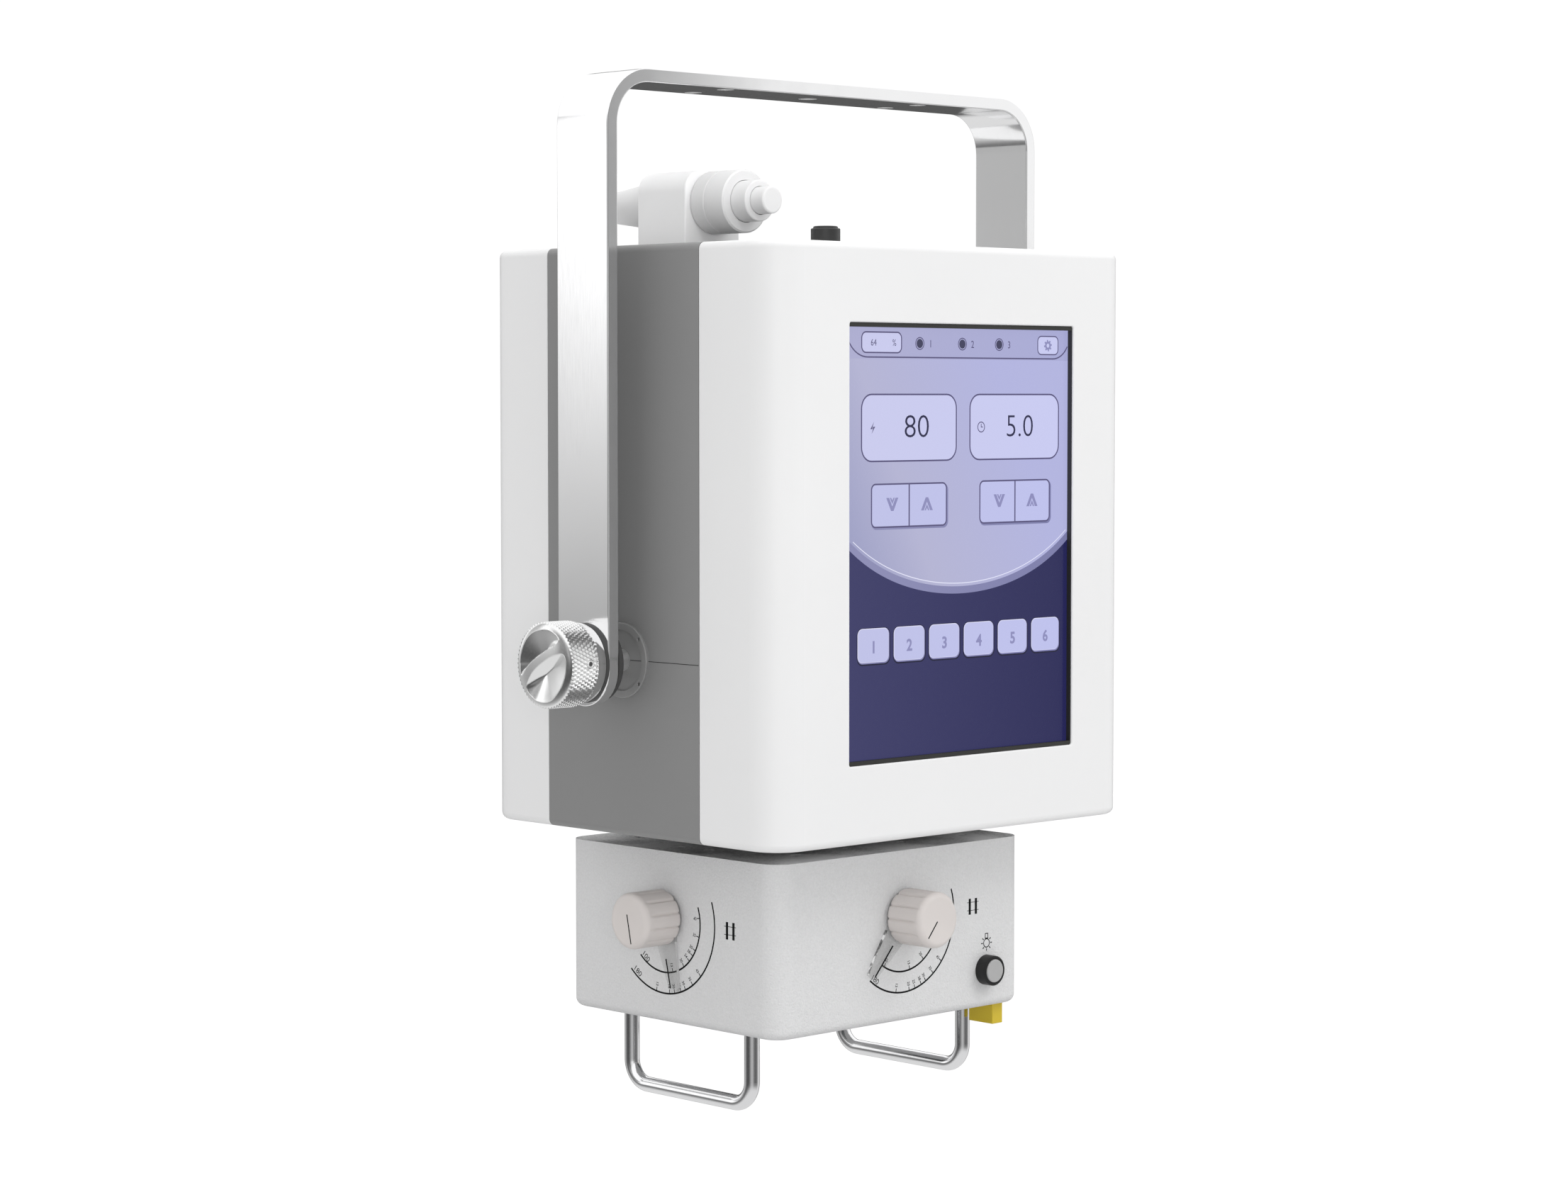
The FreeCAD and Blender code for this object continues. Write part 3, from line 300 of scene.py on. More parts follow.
def top_plate_painted_reflections():
    # brushed plate: short grain along X, with soft broad light and dark patches in its colour that are painted
    # reflections
    s = Shade("top_plate_painted_reflections", Metallic=0.25)
    vec = s.coords((0.12, 1.0, 1.0))
    n = s.node("ShaderNodeMath")
    n.operation = "MULTIPLY_ADD"
    n.inputs[1].default_value = 0.55
    s.link(s.noise(700.0, 3.0, 0.7), n.inputs[0])
    s.link(s.noise(26.0, 2.0, 0.4, s.coords((1.0, 1.0, 0.4))), n.inputs[2])
    # colour runs from dark grey to near white: the broad part is painted reflection, the fine part is grain
    s.colour(n.outputs["Value"], (0.40, 0.40, 0.405), (0.97, 0.97, 0.97), 0.62, 0.88)
    s.rough(s.noise(900.0, 3.0, 0.6, vec), 0.36, 0.52)
    s.bump(s.noise(1400.0, 3.0, 0.6, vec), 0.25, 0.03)
    return s.m


MATS["top_plate"] = top_plate_painted_reflections()


def ink(name, col, rough=0.55):
    s = Shade(name, Specular_IOR_Level=0.12)
    s.colour(s.noise(400.0, 3.0), col, tuple(v * 1.25 + 0.002 for v in col))
    s.rough(s.noise(700.0, 2.0), rough - 0.05, rough + 0.05)
    s.bump(s.noise(2500.0, 2.0), 0.15, 0.01)
    return s.m


INK = ink("printed_ink", (0.006, 0.006, 0.0065))
SOFT_INK = ink("thin_print", (0.055, 0.055, 0.055))
SEAM = ink("seam_shadow", (0.030, 0.030, 0.030))
# near-black for the bottom of the grub screw's socket: painted shade of the recess
PAINTED_SOCKET_SHADE = ink("painted_socket_shade", (0.07, 0.07, 0.07))


def lit(name, c_left, c_right, strength=1.0, x0=-0.080, x1=0.086, lean=0.0, c_mid=None):
    # a lit area of the display: its colour turns slowly from left to right, under glossy glass
    s = Shade(name, Coat_Weight=0.25, Coat_Roughness=0.04, Specular_IOR_Level=0.25, Roughness=0.25)
    sep = s.node("ShaderNodeSeparateXYZ")
    s.link(s.c.outputs["Object"], sep.inputs["Vector"])
    x = sep.outputs["X"]
    if lean:
        n = s.node("ShaderNodeMath")
        n.operation = "MULTIPLY_ADD"
        n.inputs[1].default_value = lean
        s.link(sep.outputs["Z"], n.inputs[0])
        s.link(x, n.inputs[2])
        x = n.outputs["Value"]
        x0, x1 = x0 + lean * 0.27, x1 + lean * 0.27
    f = s.ranged(x, 0.0, 1.0, x0, x1)
    col = s.ramp(f, [(0.0, c_left), (1.0, c_right)] if c_mid is None else [(0.0, c_left), (0.40, c_mid), (1.0, c_right)])
    s.link(col, s.p.inputs["Emission Color"])
    s.p.inputs["Emission Strength"].default_value = strength
    s.link(s.ramp(f, [(0.0, tuple(v * 0.05 for v in c_left)), (1.0, tuple(v * 0.05 for v in c_right))]),
           s.p.inputs["Base Color"])
    s.rough(s.noise(500.0, 2.0), 0.22, 0.28)
    return s.m


# ------------------------------------------------------------------ mesh helpers
def link(o):
    scene.collection.objects.link(o)
    return o


def finish_mesh(name, verts_mm, faces, mat, body, sharp=30.0, smooth=True):
    me = bpy.data.meshes.new(name)
    me.from_pydata([tuple(float(c) * MM for c in v) for v in verts_mm], [], faces)
    bm = bmesh.new()
    bm.from_mesh(me)
    bmesh.ops.remove_doubles(bm, verts=bm.verts, dist=1e-8)
    bmesh.ops.recalc_face_normals(bm, faces=bm.faces)
    bm.to_mesh(me)
    bm.free()
    for p in me.polygons:
        p.use_smooth = smooth
    if smooth:
        me.set_sharp_from_angle(angle=math.radians(sharp))
    me.materials.append(mat)
    o = link(bpy.data.objects.new(name, me))
    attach(o, body)
    return o


def on_front(u, v, w, base=FRONT_Y):
    return (u, base - w, v)


def on_left(u, v, w, base=LEFT_X):
    return (base - w, -u, v)


class Flat:
    """Flat shapes in a plane, turned into thin closed plates that stand on it."""

    def __init__(self, place, w0, w1):
        self.place, self.w0, self.w1 = place, w0, w1
        self.v, self.f = [], []

    def add(self, pts, faces):
        edges = {}
        for f in faces:
            for a, b in zip(f, f[1:] + f[:1]):
                if (b, a) in edges:
                    del edges[(b, a)]
                else:
                    edges[(a, b)] = True
        n0 = len(self.v)
        n = len(pts)
        for w in (self.w0, self.w1):
            self.v += [self.place(u, v, w) for u, v in pts]
        for f in faces:
            self.f.append([n0 + i for i in reversed(f)])
            self.f.append([n0 + n + i for i in f])
        for a, b in edges:
            self.f.append([n0 + a, n0 + b, n0 + n + b, n0 + n + a])
        return self

    def poly(self, pts):
        return self.add(list(pts), [list(range(len(pts)))])

    def rect(self, u0, u1, v0, v1):
        return self.poly([(u0, v0), (u1, v0), (u1, v1), (u0, v1)])

    def strip(self, inner, outer, closed=False):
        n = len(inner)
        pts = list(inner) + list(outer)
        m = n if closed else n - 1
        return self.add(pts, [[i, (i + 1) % n, n + (i + 1) % n, n + i] for i in range(m)])

    def stroke(self, pts, width, closed=False):
        a, b = [], []
        n = len(pts)
        for i in range(n):
            p0 = Vector(pts[(i - 1) % n]) if (closed or i > 0) else None
            p1 = Vector(pts[i])
            p2 = Vector(pts[(i + 1) % n]) if (closed or i < n - 1) else None
            d1 = (p1 - p0).normalized() if p0 is not None else (p2 - p1).normalized()
            d2 = (p2 - p1).normalized() if p2 is not None else d1
            n1, n2 = Vector((-d1.y, d1.x)), Vector((-d2.y, d2.x))
            m = (n1 + n2).normalized()
            k = width / 2 / max(0.35, m.dot(n1))
            a.append(tuple(p1 + m * k))
            b.append(tuple(p1 - m * k))
        return self.strip(b, a, closed)

    def arc(self, c, r, a0, a1, width, n=72):
        # angles from straight down, positive to +u
        inner, outer = [], []
        for i in range(n + 1):
            a = math.radians(a0 + (a1 - a0) * i / n)
            d = (math.sin(a), -math.cos(a))
            inner.append((c[0] + d[0] * (r - width / 2), c[1] + d[1] * (r - width / 2)))
            outer.append((c[0] + d[0] * (r + width / 2), c[1] + d[1] * (r + width / 2)))
        return self.strip(inner, outer)

    def disc(self, c, r, n=32):
        return self.poly([(c[0] + r * math.cos(2 * math.pi * i / n), c[1] + r * math.sin(2 * math.pi * i / n)) for i in range(n)])

    def ring(self, c, r0, r1, n=40):
        pin = [(c[0] + r0 * math.cos(2 * math.pi * i / n), c[1] + r0 * math.sin(2 * math.pi * i / n)) for i in range(n)]
        pout = [(c[0] + r1 * math.cos(2 * math.pi * i / n), c[1] + r1 * math.sin(2 * math.pi * i / n)) for i in range(n)]
        return self.strip(pin, pout, True)

    def text(self, body, centre, height=None, width=None, turn=0.0, weight=0.0, squeeze=1.0):
        v, f = text_shape(body, weight)
        x0, y0 = v.min(0)
        x1, y1 = v.max(0)
        sy = (height / (y1 - y0)) if height else (width / (x1 - x0))
        sx = (width / (x1 - x0)) if width else sy * squeeze
        q = (v - np.array([(x0 + x1) / 2, (y0 + y1) / 2])) * np.array([sx, sy])
        c, s = math.cos(math.radians(turn)), math.sin(math.radians(turn))
        pts = [(centre[0] + c * a - s * b, centre[1] + s * a + c * b) for a, b in q]
        return self.add(pts, f)

    def build(self, name, mat, body="machine", slot="black_plastic"):
        return finish_mesh(name, self.v, self.f, mat, body, smooth=False)


TEXTS = {}


def text_shape(body, weight=0.0):
    key = (body, weight)
    if key not in TEXTS:
        cu = bpy.data.curves.new("letter", "FONT")
        cu.body = body
        cu.size = 1.0
        cu.offset = weight
        cu.resolution_u = 4
        o = link(bpy.data.objects.new("letter", cu))
        bpy.context.view_layer.update()
        me = bpy.data.meshes.new_from_object(o.evaluated_get(bpy.context.evaluated_depsgraph_get()))
        bm = bmesh.new()
        bm.from_mesh(me)
        bmesh.ops.remove_doubles(bm, verts=bm.verts, dist=1e-5)
        bmesh.ops.triangulate(bm, faces=bm.faces)
        v = np.array([[p.co.x, p.co.y] for p in bm.verts])
        f = []
        for t in bm.faces:
            i = [p.index for p in t.verts]
            a, b, c = v[i[0]], v[i[1]], v[i[2]]
            area = (b[0] - a[0]) * (c[1] - a[1]) - (b[1] - a[1]) * (c[0] - a[0])
            if abs(area) > 1e-9:
                f.append(i if area > 0 else i[::-1])
        bm.free()
        bpy.data.objects.remove(o)
        bpy.data.curves.remove(cu)
        bpy.data.meshes.remove(me)
        TEXTS[key] = (v, f)
    return TEXTS[key]


def rrect(x0, x1, z0, z1, r, n=8):
    pts = []
    for cx, cz, a0 in ((x1 - r, z0 + r, -90), (x1 - r, z1 - r, 0), (x0 + r, z1 - r, 90), (x0 + r, z0 + r, 180)):
        for i in range(n + 1):
            a = math.radians(a0 + 90.0 * i / n)
            pts.append((cx + r * math.cos(a), cz + r * math.sin(a)))
    return pts


def grid_mesh(name, rows, mat, body, cap_first=None, cap_last=None, sharp=30.0):
    # rows: closed rings of points of one length; caps are single points or None
    n = len(rows[0])
    verts = [tuple(p) for r in rows for p in r]
    faces = []
    for i in range(len(rows) - 1):
        for j in range(n):
            k = (j + 1) % n
            faces.append([i * n + j, i * n + k, (i + 1) * n + k, (i + 1) * n + j])
    if cap_first is not None:
        c = len(verts)
        verts.append(tuple(cap_first))
        faces += [[(j + 1) % n, j, c] for j in range(n)]
    if cap_last is not None:
        c = len(verts)
        verts.append(tuple(cap_last))
        b = (len(rows) - 1) * n
        faces += [[b + j, b + (j + 1) % n, c] for j in range(n)]
    return finish_mesh(name, verts, faces, mat, body, sharp=sharp)


# ------------------------------------------------------------------ CAD nodes take their materials
for part in frame["record"]["subparts"]:
    o = frame["nodes"][part["node"]]
    m = MATS[part["material_slot"]]
    # the collimator's top plate gets the brushed metal with painted reflection patches
    if part["node"] == "collimator_top_plate":
        m = MATS["top_plate"]
    if part["node"] == "lamp_button_ring":
        m = MATS["deep_black"]
    if part["node"] == "pivot_studs":
        m = MATS["hole_wall"]
    if part["node"] == "pivot_flanges":
        m = MATS["flange_grey"]
    if part["node"].startswith("hand_switch"):
        m = MATS["switch_white"]
    # the switch holder takes the white with painted light in it
    if part["node"] == "switch_holder":
        m = MATS["holder_painted_light_white"]
    if not o.material_slots:
        o.data.materials.append(m)
    for s in o.material_slots:
        s.material = m

# ------------------------------------------------------------------ clamp knobs
KNURL_N, KNURL_P, KNURL_H, KNURL_R = 62, 4.1, 1.05, 20.98
KNURL_T1, RIM_R = 24.6, 19.4          # front end of the knurl, radius where the scooped part of the face begins
# outlines of the two finger scoops, seen from outside: u to the front of the machine, v up; the points
# with the numbers in RIDGE lie along the grip ridge between the scoops
SCOOPS = (
    ([(-18.4, -0.8), (-17.9, -5.6), (-16.1, -5.3), (-13.7, -2.6), (-8.9, 1.2), (-3.8, 4.0), (2.4, 7.1), (7.9, 9.4), (10.2, 11.1),
      (11.4, 12.9), (10.3, 14.8), (7.2, 16.7), (3.3, 17.9), (-1.4, 17.9), (-7.7, 16.5), (-12.4, 13.7), (-16.0, 9.5), (-18.0, 4.8),
      (-18.6, 0.7)], (2, 8), 2.0),
    ([(-12.6, -14.0), (-13.5, -11.2), (-12.2, -8.6), (-8.6, -4.3), (-4.6, -1.1), (0.1, 1.7), (5.5, 4.5), (11.0, 6.1), (14.1, 6.4),
      (16.0, 5.1), (17.0, 1.6), (16.9, -1.9), (15.6, -6.0), (13.2, -10.2), (9.3, -14.4), (5.4, -17.2), (0.0, -18.5), (-5.5, -18.1),
      (-9.4, -16.3)], (1, 8), 0.75),
)


def tri(t):
    return 1 - 2 * np.abs(t - np.round(t))


def dome(r):
    return KNURL_T1 + 2.2 * np.clip(1 - (np.asarray(r, float) / 21.3) ** 2.2, 0, 1) ** (1 / 2.2)


def curve_through(pts, step=0.5):
    # smooth closed curve through points, with the number of the point before each sample
    p = np.array(pts, float)
    n = len(p)
    out, tag = [], []
    for i in range(n):
        a, b, c, d = p[(i - 1) % n], p[i], p[(i + 1) % n], p[(i + 2) % n]
        m = max(2, int(round(np.linalg.norm(c - b) / step)))
        for k in range(m):
            t = k / m
            out.append(0.5 * (2 * b + (c - a) * t + (2 * a - 5 * b + 4 * c - d) * t ** 2 + (3 * b - a - 3 * c + d) * t ** 3))
            tag.append(i)
    return np.array(out), np.array(tag)


def line_distance(q, path):
    a, b = path[:-1], path[1:]
    ab = b - a
    t = np.clip(((q[:, None] - a) * ab).sum(2) / (ab ** 2).sum(1), 0, 1)
    return np.sqrt((((a + ab * t[..., None]) - q[:, None]) ** 2).sum(2)).min(1)


def inside(q, loop):
    x, y = q[:, 0], q[:, 1]
    res = np.zeros(len(q), bool)
    for (x0, y0), (x1, y1) in zip(loop, np.roll(loop, -1, 0)):
        if y0 != y1:
            res ^= ((y0 > y) != (y1 > y)) & (x < (x1 - x0) * (y - y0) / (y1 - y0) + x0)
    return res


def knob_face(m):
    # flat net of the scooped face: points, depth below the dome, triangles, numbers of the outline points
    th = 2 * np.pi * np.arange(m) / m
    rim = np.stack([RIM_R * np.cos(th), RIM_R * np.sin(th)], 1)
    loops = [curve_through(pts) for pts, ridge, wall in SCOOPS]
    pts = [rim] + [l for l, tag in loops]
    edges, start = [], 0
    for q in pts:
        n = len(q)
        edges += [(start + i, start + (i + 1) % n) for i in range(n)]
        start += n
    g = 0.62
    fill = []
    for j in range(-40, 41):
        for i in range(-40, 41):
            fill.append(((i + 0.5 * (j % 2)) * g, j * g * 0.866))
    fill = np.array(fill)
    fill = fill[np.hypot(fill[:, 0], fill[:, 1]) < RIM_R - 0.3]
    for l, tag in loops:
        fill = fill[line_distance(fill, np.vstack([l, l[:1]])) > 0.24]
    allp = np.vstack(pts + [fill])
    out = geometry.delaunay_2d_cdt([Vector((a, b)) for a, b in allp], edges, [], 0, 1e-6, True)
    q = np.array([[v.x, v.y] for v in out[0]])
    depth = np.zeros(len(q))
    for (l, tag), (raw, (r0, r1), wall) in zip(loops, SCOOPS):
        closed, ctag = np.vstack([l, l[:1]]), np.append(tag, tag[0])
        on_ridge = (tag >= r0) & (tag < r1)
        k = int(np.argmax(on_ridge))
        roll = np.roll(l, -k, 0)
        nr = int(on_ridge.sum())
        ridge, rest = roll[:nr + 1], np.vstack([roll[nr:], roll[:1]])
        inn = inside(q, l) & (line_distance(q, closed) > 1e-4)
        x, d = line_distance(q[inn], rest), line_distance(q[inn], ridge)
        a, b = 0.36 * x - 0.008 * x * x, wall * d
        h = 0.5
        k = np.clip(0.5 + 0.5 * (b - a) / h, 0, 1)
        depth[inn] = np.clip(b * (1 - k) + a * k - h * k * (1 - k), 0.0, None)
    crease = set()
    first = {}
    for i, o in enumerate(out[3]):
        for k in o:
            first[k] = i
    for k in range(m, m + sum(len(l) for l, tag in loops)):
        crease.add(first[k])
    return q, depth, [list(f) for f in out[2]], [first[k] for k in range(m)], crease


def clamp_knob(name, s, body, node, net):
    m = KNURL_N * 4
    th = 2 * np.pi * np.arange(m) / m
    verts, faces = [], []

    def point(t, u, v):
        # seen from outside; on both sides u runs to the front of the machine
        return (s * (YK_OUT + t), PIV_Y - u, PIV_Z + v)

    def ring(t, r):
        t, r = np.broadcast_to(t, th.shape), np.broadcast_to(r, th.shape)
        verts.extend(point(a, b * math.cos(c), b * math.sin(c)) for a, b, c in zip(t, r, th))

    heights = []
    for t, r in ((12.0, 5.06), (2.0, 5.06), (2.0, 12.0), (2.0, 19.8), (2.12, 20.05), (2.45, 20.2), (6.0, 20.82), (6.5, 20.86), (7.0, 20.9)):
        ring(t, r)
        heights.append(None)
    rows = 16
    for i in range(rows + 1):
        t = KNURL_T1 - (rows - i) * KNURL_P / 4
        a = KNURL_N * th / (2 * np.pi) + (KNURL_T1 - t) / KNURL_P
        b = KNURL_N * th / (2 * np.pi) - (KNURL_T1 - t) / KNURL_P
        h = np.minimum(np.minimum(tri(a), tri(b)), 0.93)
        r = KNURL_R + KNURL_H * h * (0.55 if i == 0 else 1.0)
        # room for the grub screw that faces the front of the machine
        near = np.hypot(np.angle(np.exp(1j * th)) * 22.0 - 1.2, t - 13.6) < 2.1
        ring(t, np.where(near, KNURL_R + 0.1, r))
        heights.append(np.where(near, 0.0, h))
    for r in (20.9, 20.7, 20.4, 20.0):
        ring(float(dome(r)), r)
        heights.append(None)
    n = len(heights)
    for i in range(n - 1):
        for j in range(m):
            k = (j + 1) % m
            q = [i * m + j, i * m + k, (i + 1) * m + k, (i + 1) * m + j]
            if heights[i] is not None and heights[i + 1] is not None:
                if heights[i][j] + heights[i + 1][k] < heights[i][k] + heights[i + 1][j]:
                    faces += [[q[0], q[1], q[2]], [q[0], q[2], q[3]]]
                else:
                    faces += [[q[1], q[2], q[3]], [q[1], q[3], q[0]]]
            else:
                faces.append(q)
    c = len(verts)
    verts.append(point(12.0, 0, 0))
    faces += [[(j + 1) % m, j, c] for j in range(m)]
    q, depth, tris, rim, crease = net
    c = len(verts)
    verts += [point(float(dome(math.hypot(u, v))) - d, u, v) for (u, v), d in zip(q, depth)]
    last = (n - 1) * m
    faces += [[last + j, last + (j + 1) % m, c + rim[(j + 1) % m], c + rim[j]] for j in range(m)]
    faces += [[c + k for k in f] for f in tris]
    o = finish_mesh(name, verts, faces, MATS["knurled_metal"], body, sharp=26.0)
    key = {tuple(round(v * MM, 7) for v in verts[c + k]) for k in crease}
    me = o.data
    at = [tuple(round(v, 7) for v in p.co) in key for p in me.vertices]
    for e in me.edges:
        if at[e.vertices[0]] and at[e.vertices[1]]:
            e.use_edge_sharp = True
    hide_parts(node)

    # narrow rounded lip round each scoop
    for i, (pts, ridge, wall) in enumerate(SCOOPS):
        loop, tag = curve_through(pts)
        nxt, prv = np.roll(loop, -1, 0), np.roll(loop, 1, 0)
        tan = (nxt - prv) / np.linalg.norm(nxt - prv, axis=1)[:, None]
        out = np.stack([tan[:, 1], -tan[:, 0]], 1)
        lip = []
        for a in np.linspace(0, 2 * np.pi, 9)[:-1]:
            q = loop + out * (0.24 * math.cos(a))
            lip.append([point(float(dome(math.hypot(*l))) - 0.10 + 0.24 * math.sin(a), *k) for l, k in zip(loop, q)])
        n_l = len(loop)
        v = [p for r in lip for p in r]
        fs = [[r * n_l + j, r * n_l + (j + 1) % n_l, ((r + 1) % 8) * n_l + (j + 1) % n_l, ((r + 1) % 8) * n_l + j]
              for r in range(8) for j in range(n_l)]
        finish_mesh("%s_lip_%d" % (name, i + 1), v, fs, MATS["knurled_metal"], body, sharp=60.0)

    # socket grub screw in the knurl
    def screw(u, v, w):
        return (s * (YK_OUT + 13.6) + u, PIV_Y - w, PIV_Z + 1.2 + v)

    def cup(profile):
        return [[screw(r * math.cos(2 * math.pi * i / 40), r * math.sin(2 * math.pi * i / 40), w) for i in range(40)] for r, w in profile]

    grid_mesh(name + "_grub", cup([(1.95, 20.4), (1.95, 21.55), (1.8, 21.7), (1.3, 21.7), (1.15, 21.55), (1.15, 21.1)]),
              MATS["knurled_metal"], body, cap_first=screw(0, 0, 20.4), cap_last=screw(0, 0, 21.1))
    # thin dark disc at the bottom of the socket: painted shade standing in for the dark of the recess
    grid_mesh(name + "_grub_socket", cup([(1.1, 21.12), (1.1, 21.16)]), PAINTED_SOCKET_SHADE, body,
              cap_first=screw(0, 0, 21.12), cap_last=screw(0, 0, 21.16))
    return o


face_net = knob_face(KNURL_N * 4)
clamp_knob("left_clamp_knob_shape", -1, "left_clamp", "left_clamp_knob", face_net)
clamp_knob("right_clamp_knob_shape", 1, "right_clamp", "right_clamp_knob", face_net)

# bright walls of the mounting holes in the crossbar
for i, (x, y, r) in enumerate([(a, b, 4.5) for a in (-71.0, 71.0) for b in (-12.25, 12.25)] + [(0.0, 0.0, 5.0)]):
    rows = [[(x + q * math.cos(2 * math.pi * k / 64), PIV_Y + y + q * math.sin(2 * math.pi * k / 64), z) for k in range(64)]
            for q, z in ((r - 0.01, 525.25), (r - 0.01, 531.95), (r - 0.07, 531.95), (r - 0.07, 525.25), (r - 0.01, 525.25))]
    grid_mesh("yoke_hole_wall_%d" % (i + 1), rows, MATS["hole_wall"], "yoke_arm")


# ------------------------------------------------------------------ field knobs
def field_knob(name, place, c, first, body, node, line):
    # place(u, v, w): w outward from the housing face; first: direction of one of the twelve flutes, degrees
    m = 12 * 20
    th = 2 * np.pi * np.arange(m) / m
    R, back, top = 14.7, 2.0, 25.4
    rows = []

    def ring(w, r):
        r = np.broadcast_to(r, th.shape)
        rows.append([place(c[0] + a, c[1] + b, w) for a, b in zip(r * np.cos(th), r * np.sin(th))])

    ph = ((th - math.radians(first)) * 12 / (2 * np.pi) + 0.5) % 1.0
    q = (ph - 0.5) * 2
    # narrow groove with softly rounded lips between wide lands
    groove = np.clip(1 - np.abs(q) / 0.30, 0, 1)
    flute = 0.95 * groove ** 1.1 + 0.10 * (1 - q * q)
    ring(back, 6.0)
    ring(back, R - 0.6 - flute)
    ring(back + 0.15, R - 0.2 - flute)
    ring(back + 0.5, R - flute)
    for w in np.linspace(4.0, 18.0, 9):
        ring(w, R - flute)
    rr = 3.3
    for w in (18.8, 19.6, 20.4, 21.2, 21.9):
        k = max(0.0, (w - 18.0) / 5.6)
        ring(w, R - flute * (1 - k * k * (3 - 2 * k)))
    for i in range(0, 14):
        a = math.radians(90 * i / 13)
        w = top - rr + rr * math.sin(a)
        k = min(1.0, (w - 18.0) / 5.6)
        ring(w, R - rr + rr * math.cos(a) - flute * (1 - k * k * (3 - 2 * k)) * math.cos(a))
    for r in (10.6, 9.0, 6.5, 4.0, 1.5):
        ring(top - 0.02, r)
    o = grid_mesh(name, rows, MATS["knob_plastic"], body,
                  cap_first=place(c[0], c[1], back), cap_last=place(c[0], c[1], top - 0.02), sharp=38.0)
    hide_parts(node)
    mark = Flat(lambda u, v, w: place(u, v, w), top - 0.15, top + 0.02)
    mark.stroke(line, 0.74)
    mark.build(name + "_mark", INK, body, "black_plastic")
    return o


field_knob("left_field_knob_shape", on_left, (-LK_Y, LK_Z), 15.0, "left_field_control", "left_field_knob",
           [(-14.2, 101.35), (-11.0, 86.2)])
field_knob("front_field_knob_shape", on_front, (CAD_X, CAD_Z), 0.0, "front_field_control", "front_field_knob",
           [(-1.39, 97.46), (-8.16, 89.24)])


def pointer_print(name, place, c, ang, body, r0, r1, a0, a1, side, edge):
    # indicator line on the clear plate, and the plate's cut edge towards the machine's corner as an opaque strip whose
    # colour is painted light and shade
    a = math.radians(ang)
    d = Vector((math.sin(a), -math.cos(a)))
    n = Vector((-d.y, d.x))
    f = Flat(place, 2.01, 2.06)
    f.stroke([tuple(Vector(c) + d * r0 + n * a0), tuple(Vector(c) + d * r1 + n * a1)], 0.92)
    f.build(name + "_line", INK, body, "black_plastic")
    f = Flat(place, 0.26, 1.94)
    prof = ((14.0, 6.85), (37.6, 3.4), (39.4, 2.0))
    near = [tuple(Vector(c) + d * al + n * (side * (w + 0.01))) for al, w in prof]
    far = [tuple(Vector(c) + d * al + n * (side * (w + 0.07))) for al, w in prof]
    f.strip(near, far) if side < 0 else f.strip(far, near)
    f.build(name + "_cut_edge", MATS[edge], body, "acrylic")


# the left pointer's cut edge is a plain grey of painted edge shade
pointer_print("left_pointer", on_left, (-LK_Y, LK_Z), 13.6, "left_field_control", 21.8, 37.2, -1.9, -2.1, 1, "clear_edge")
# the front pointer's cut edge carries painted glints
pointer_print("front_pointer", on_front, (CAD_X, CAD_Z), -41.0, "front_field_control", 17.8, 37.5, 1.7, 1.6, -1, "cut_edge")


# ------------------------------------------------------------------ dial printing
def dial(name, place, c, r_in, r_out, a_in, a_out, inner, outer, ends):
    f = Flat(place, 0.0, 0.03)
    f.arc(c, r_out, a_out[0], a_out[1], 0.92)
    f.arc(c, r_in, a_in[0], a_in[1], 0.92)
    g = Flat(place, 0.0, 0.025)
    for r, marks in ((r_in, inner), (r_out, outer)):
        for ang, label in marks:
            a = math.radians(ang)
            d = Vector((math.sin(a), -math.cos(a)))
            p0 = Vector(c) + d * (r - 2.2)
            p1 = Vector(c) + d * (r - 0.3)
            f.stroke([tuple(p0), tuple(p1)], 0.50)
            q = Vector(c) + d * (r - 3.75)
            g.text(label, tuple(q), height=1.75, turn=ang - 90, weight=0.02)
    for (u, v), turn, length, label in ends:
        f.text(label, (u, v), height=3.0, width=length, turn=turn)
    g.build(name + "_numbers", SOFT_INK)
    return f.build(name, INK)


dial("left_dial_print", on_left, (-13.4, 96.0), 27.4, 38.4, (-42.8, 109.8), (-42.8, 109.8),
     [(13.6, "13"), (33.3, "20"), (44.3, "24"), (52.8, "28"), (60.1, "30"), (76.8, "35"), (97.7, "43")],
     [(-9.3, "13"), (6.0, "18"), (11.8, "20"), (19.3, "25"), (24.9, "30"), (34.3, "35"), (46.6, "43")],
     [((-27.5, 75.2), -42.4, 5.6, "100"), ((-34.05, 66.75), -37.7, 5.9, "180")])
dial("front_dial_print", on_front, (-0.8, 96.0), 27.4, 38.4, (-34.4, 108.9), (-39.7, 108.9),
     [(-30.9, "10"), (10.5, "13"), (33.8, "20")],
     [(-8.0, "13"), (6.9, "20"), (13.4, "25"), (20.8, "28"), (26.3, "30"), (36.2, "35"), (49.0, "43")],
     [((-21.3, 66.4), -38.0, 5.4, "180")])

# shutter symbols beside both dials
f = Flat(on_left, 0.0, 0.03)
for y in (-34.3, -39.1):
    f.rect(-y - 0.85, -y + 0.85, 91.0, 100.0)
for z in (97.7, 93.5):
    f.rect(32.2, 41.0, z - 0.16, z + 0.16)
f.build("left_shutter_symbol", INK)
f = Flat(on_front, 0.0, 0.03)
for x in (49.95, 54.72):
    f.rect(x - 0.85, x + 0.85, 93.2, 101.7)
for z in (99.7, 95.4):
    f.rect(47.9, 56.8, z - 0.14, z + 0.14)
f.build("front_shutter_symbol", INK)

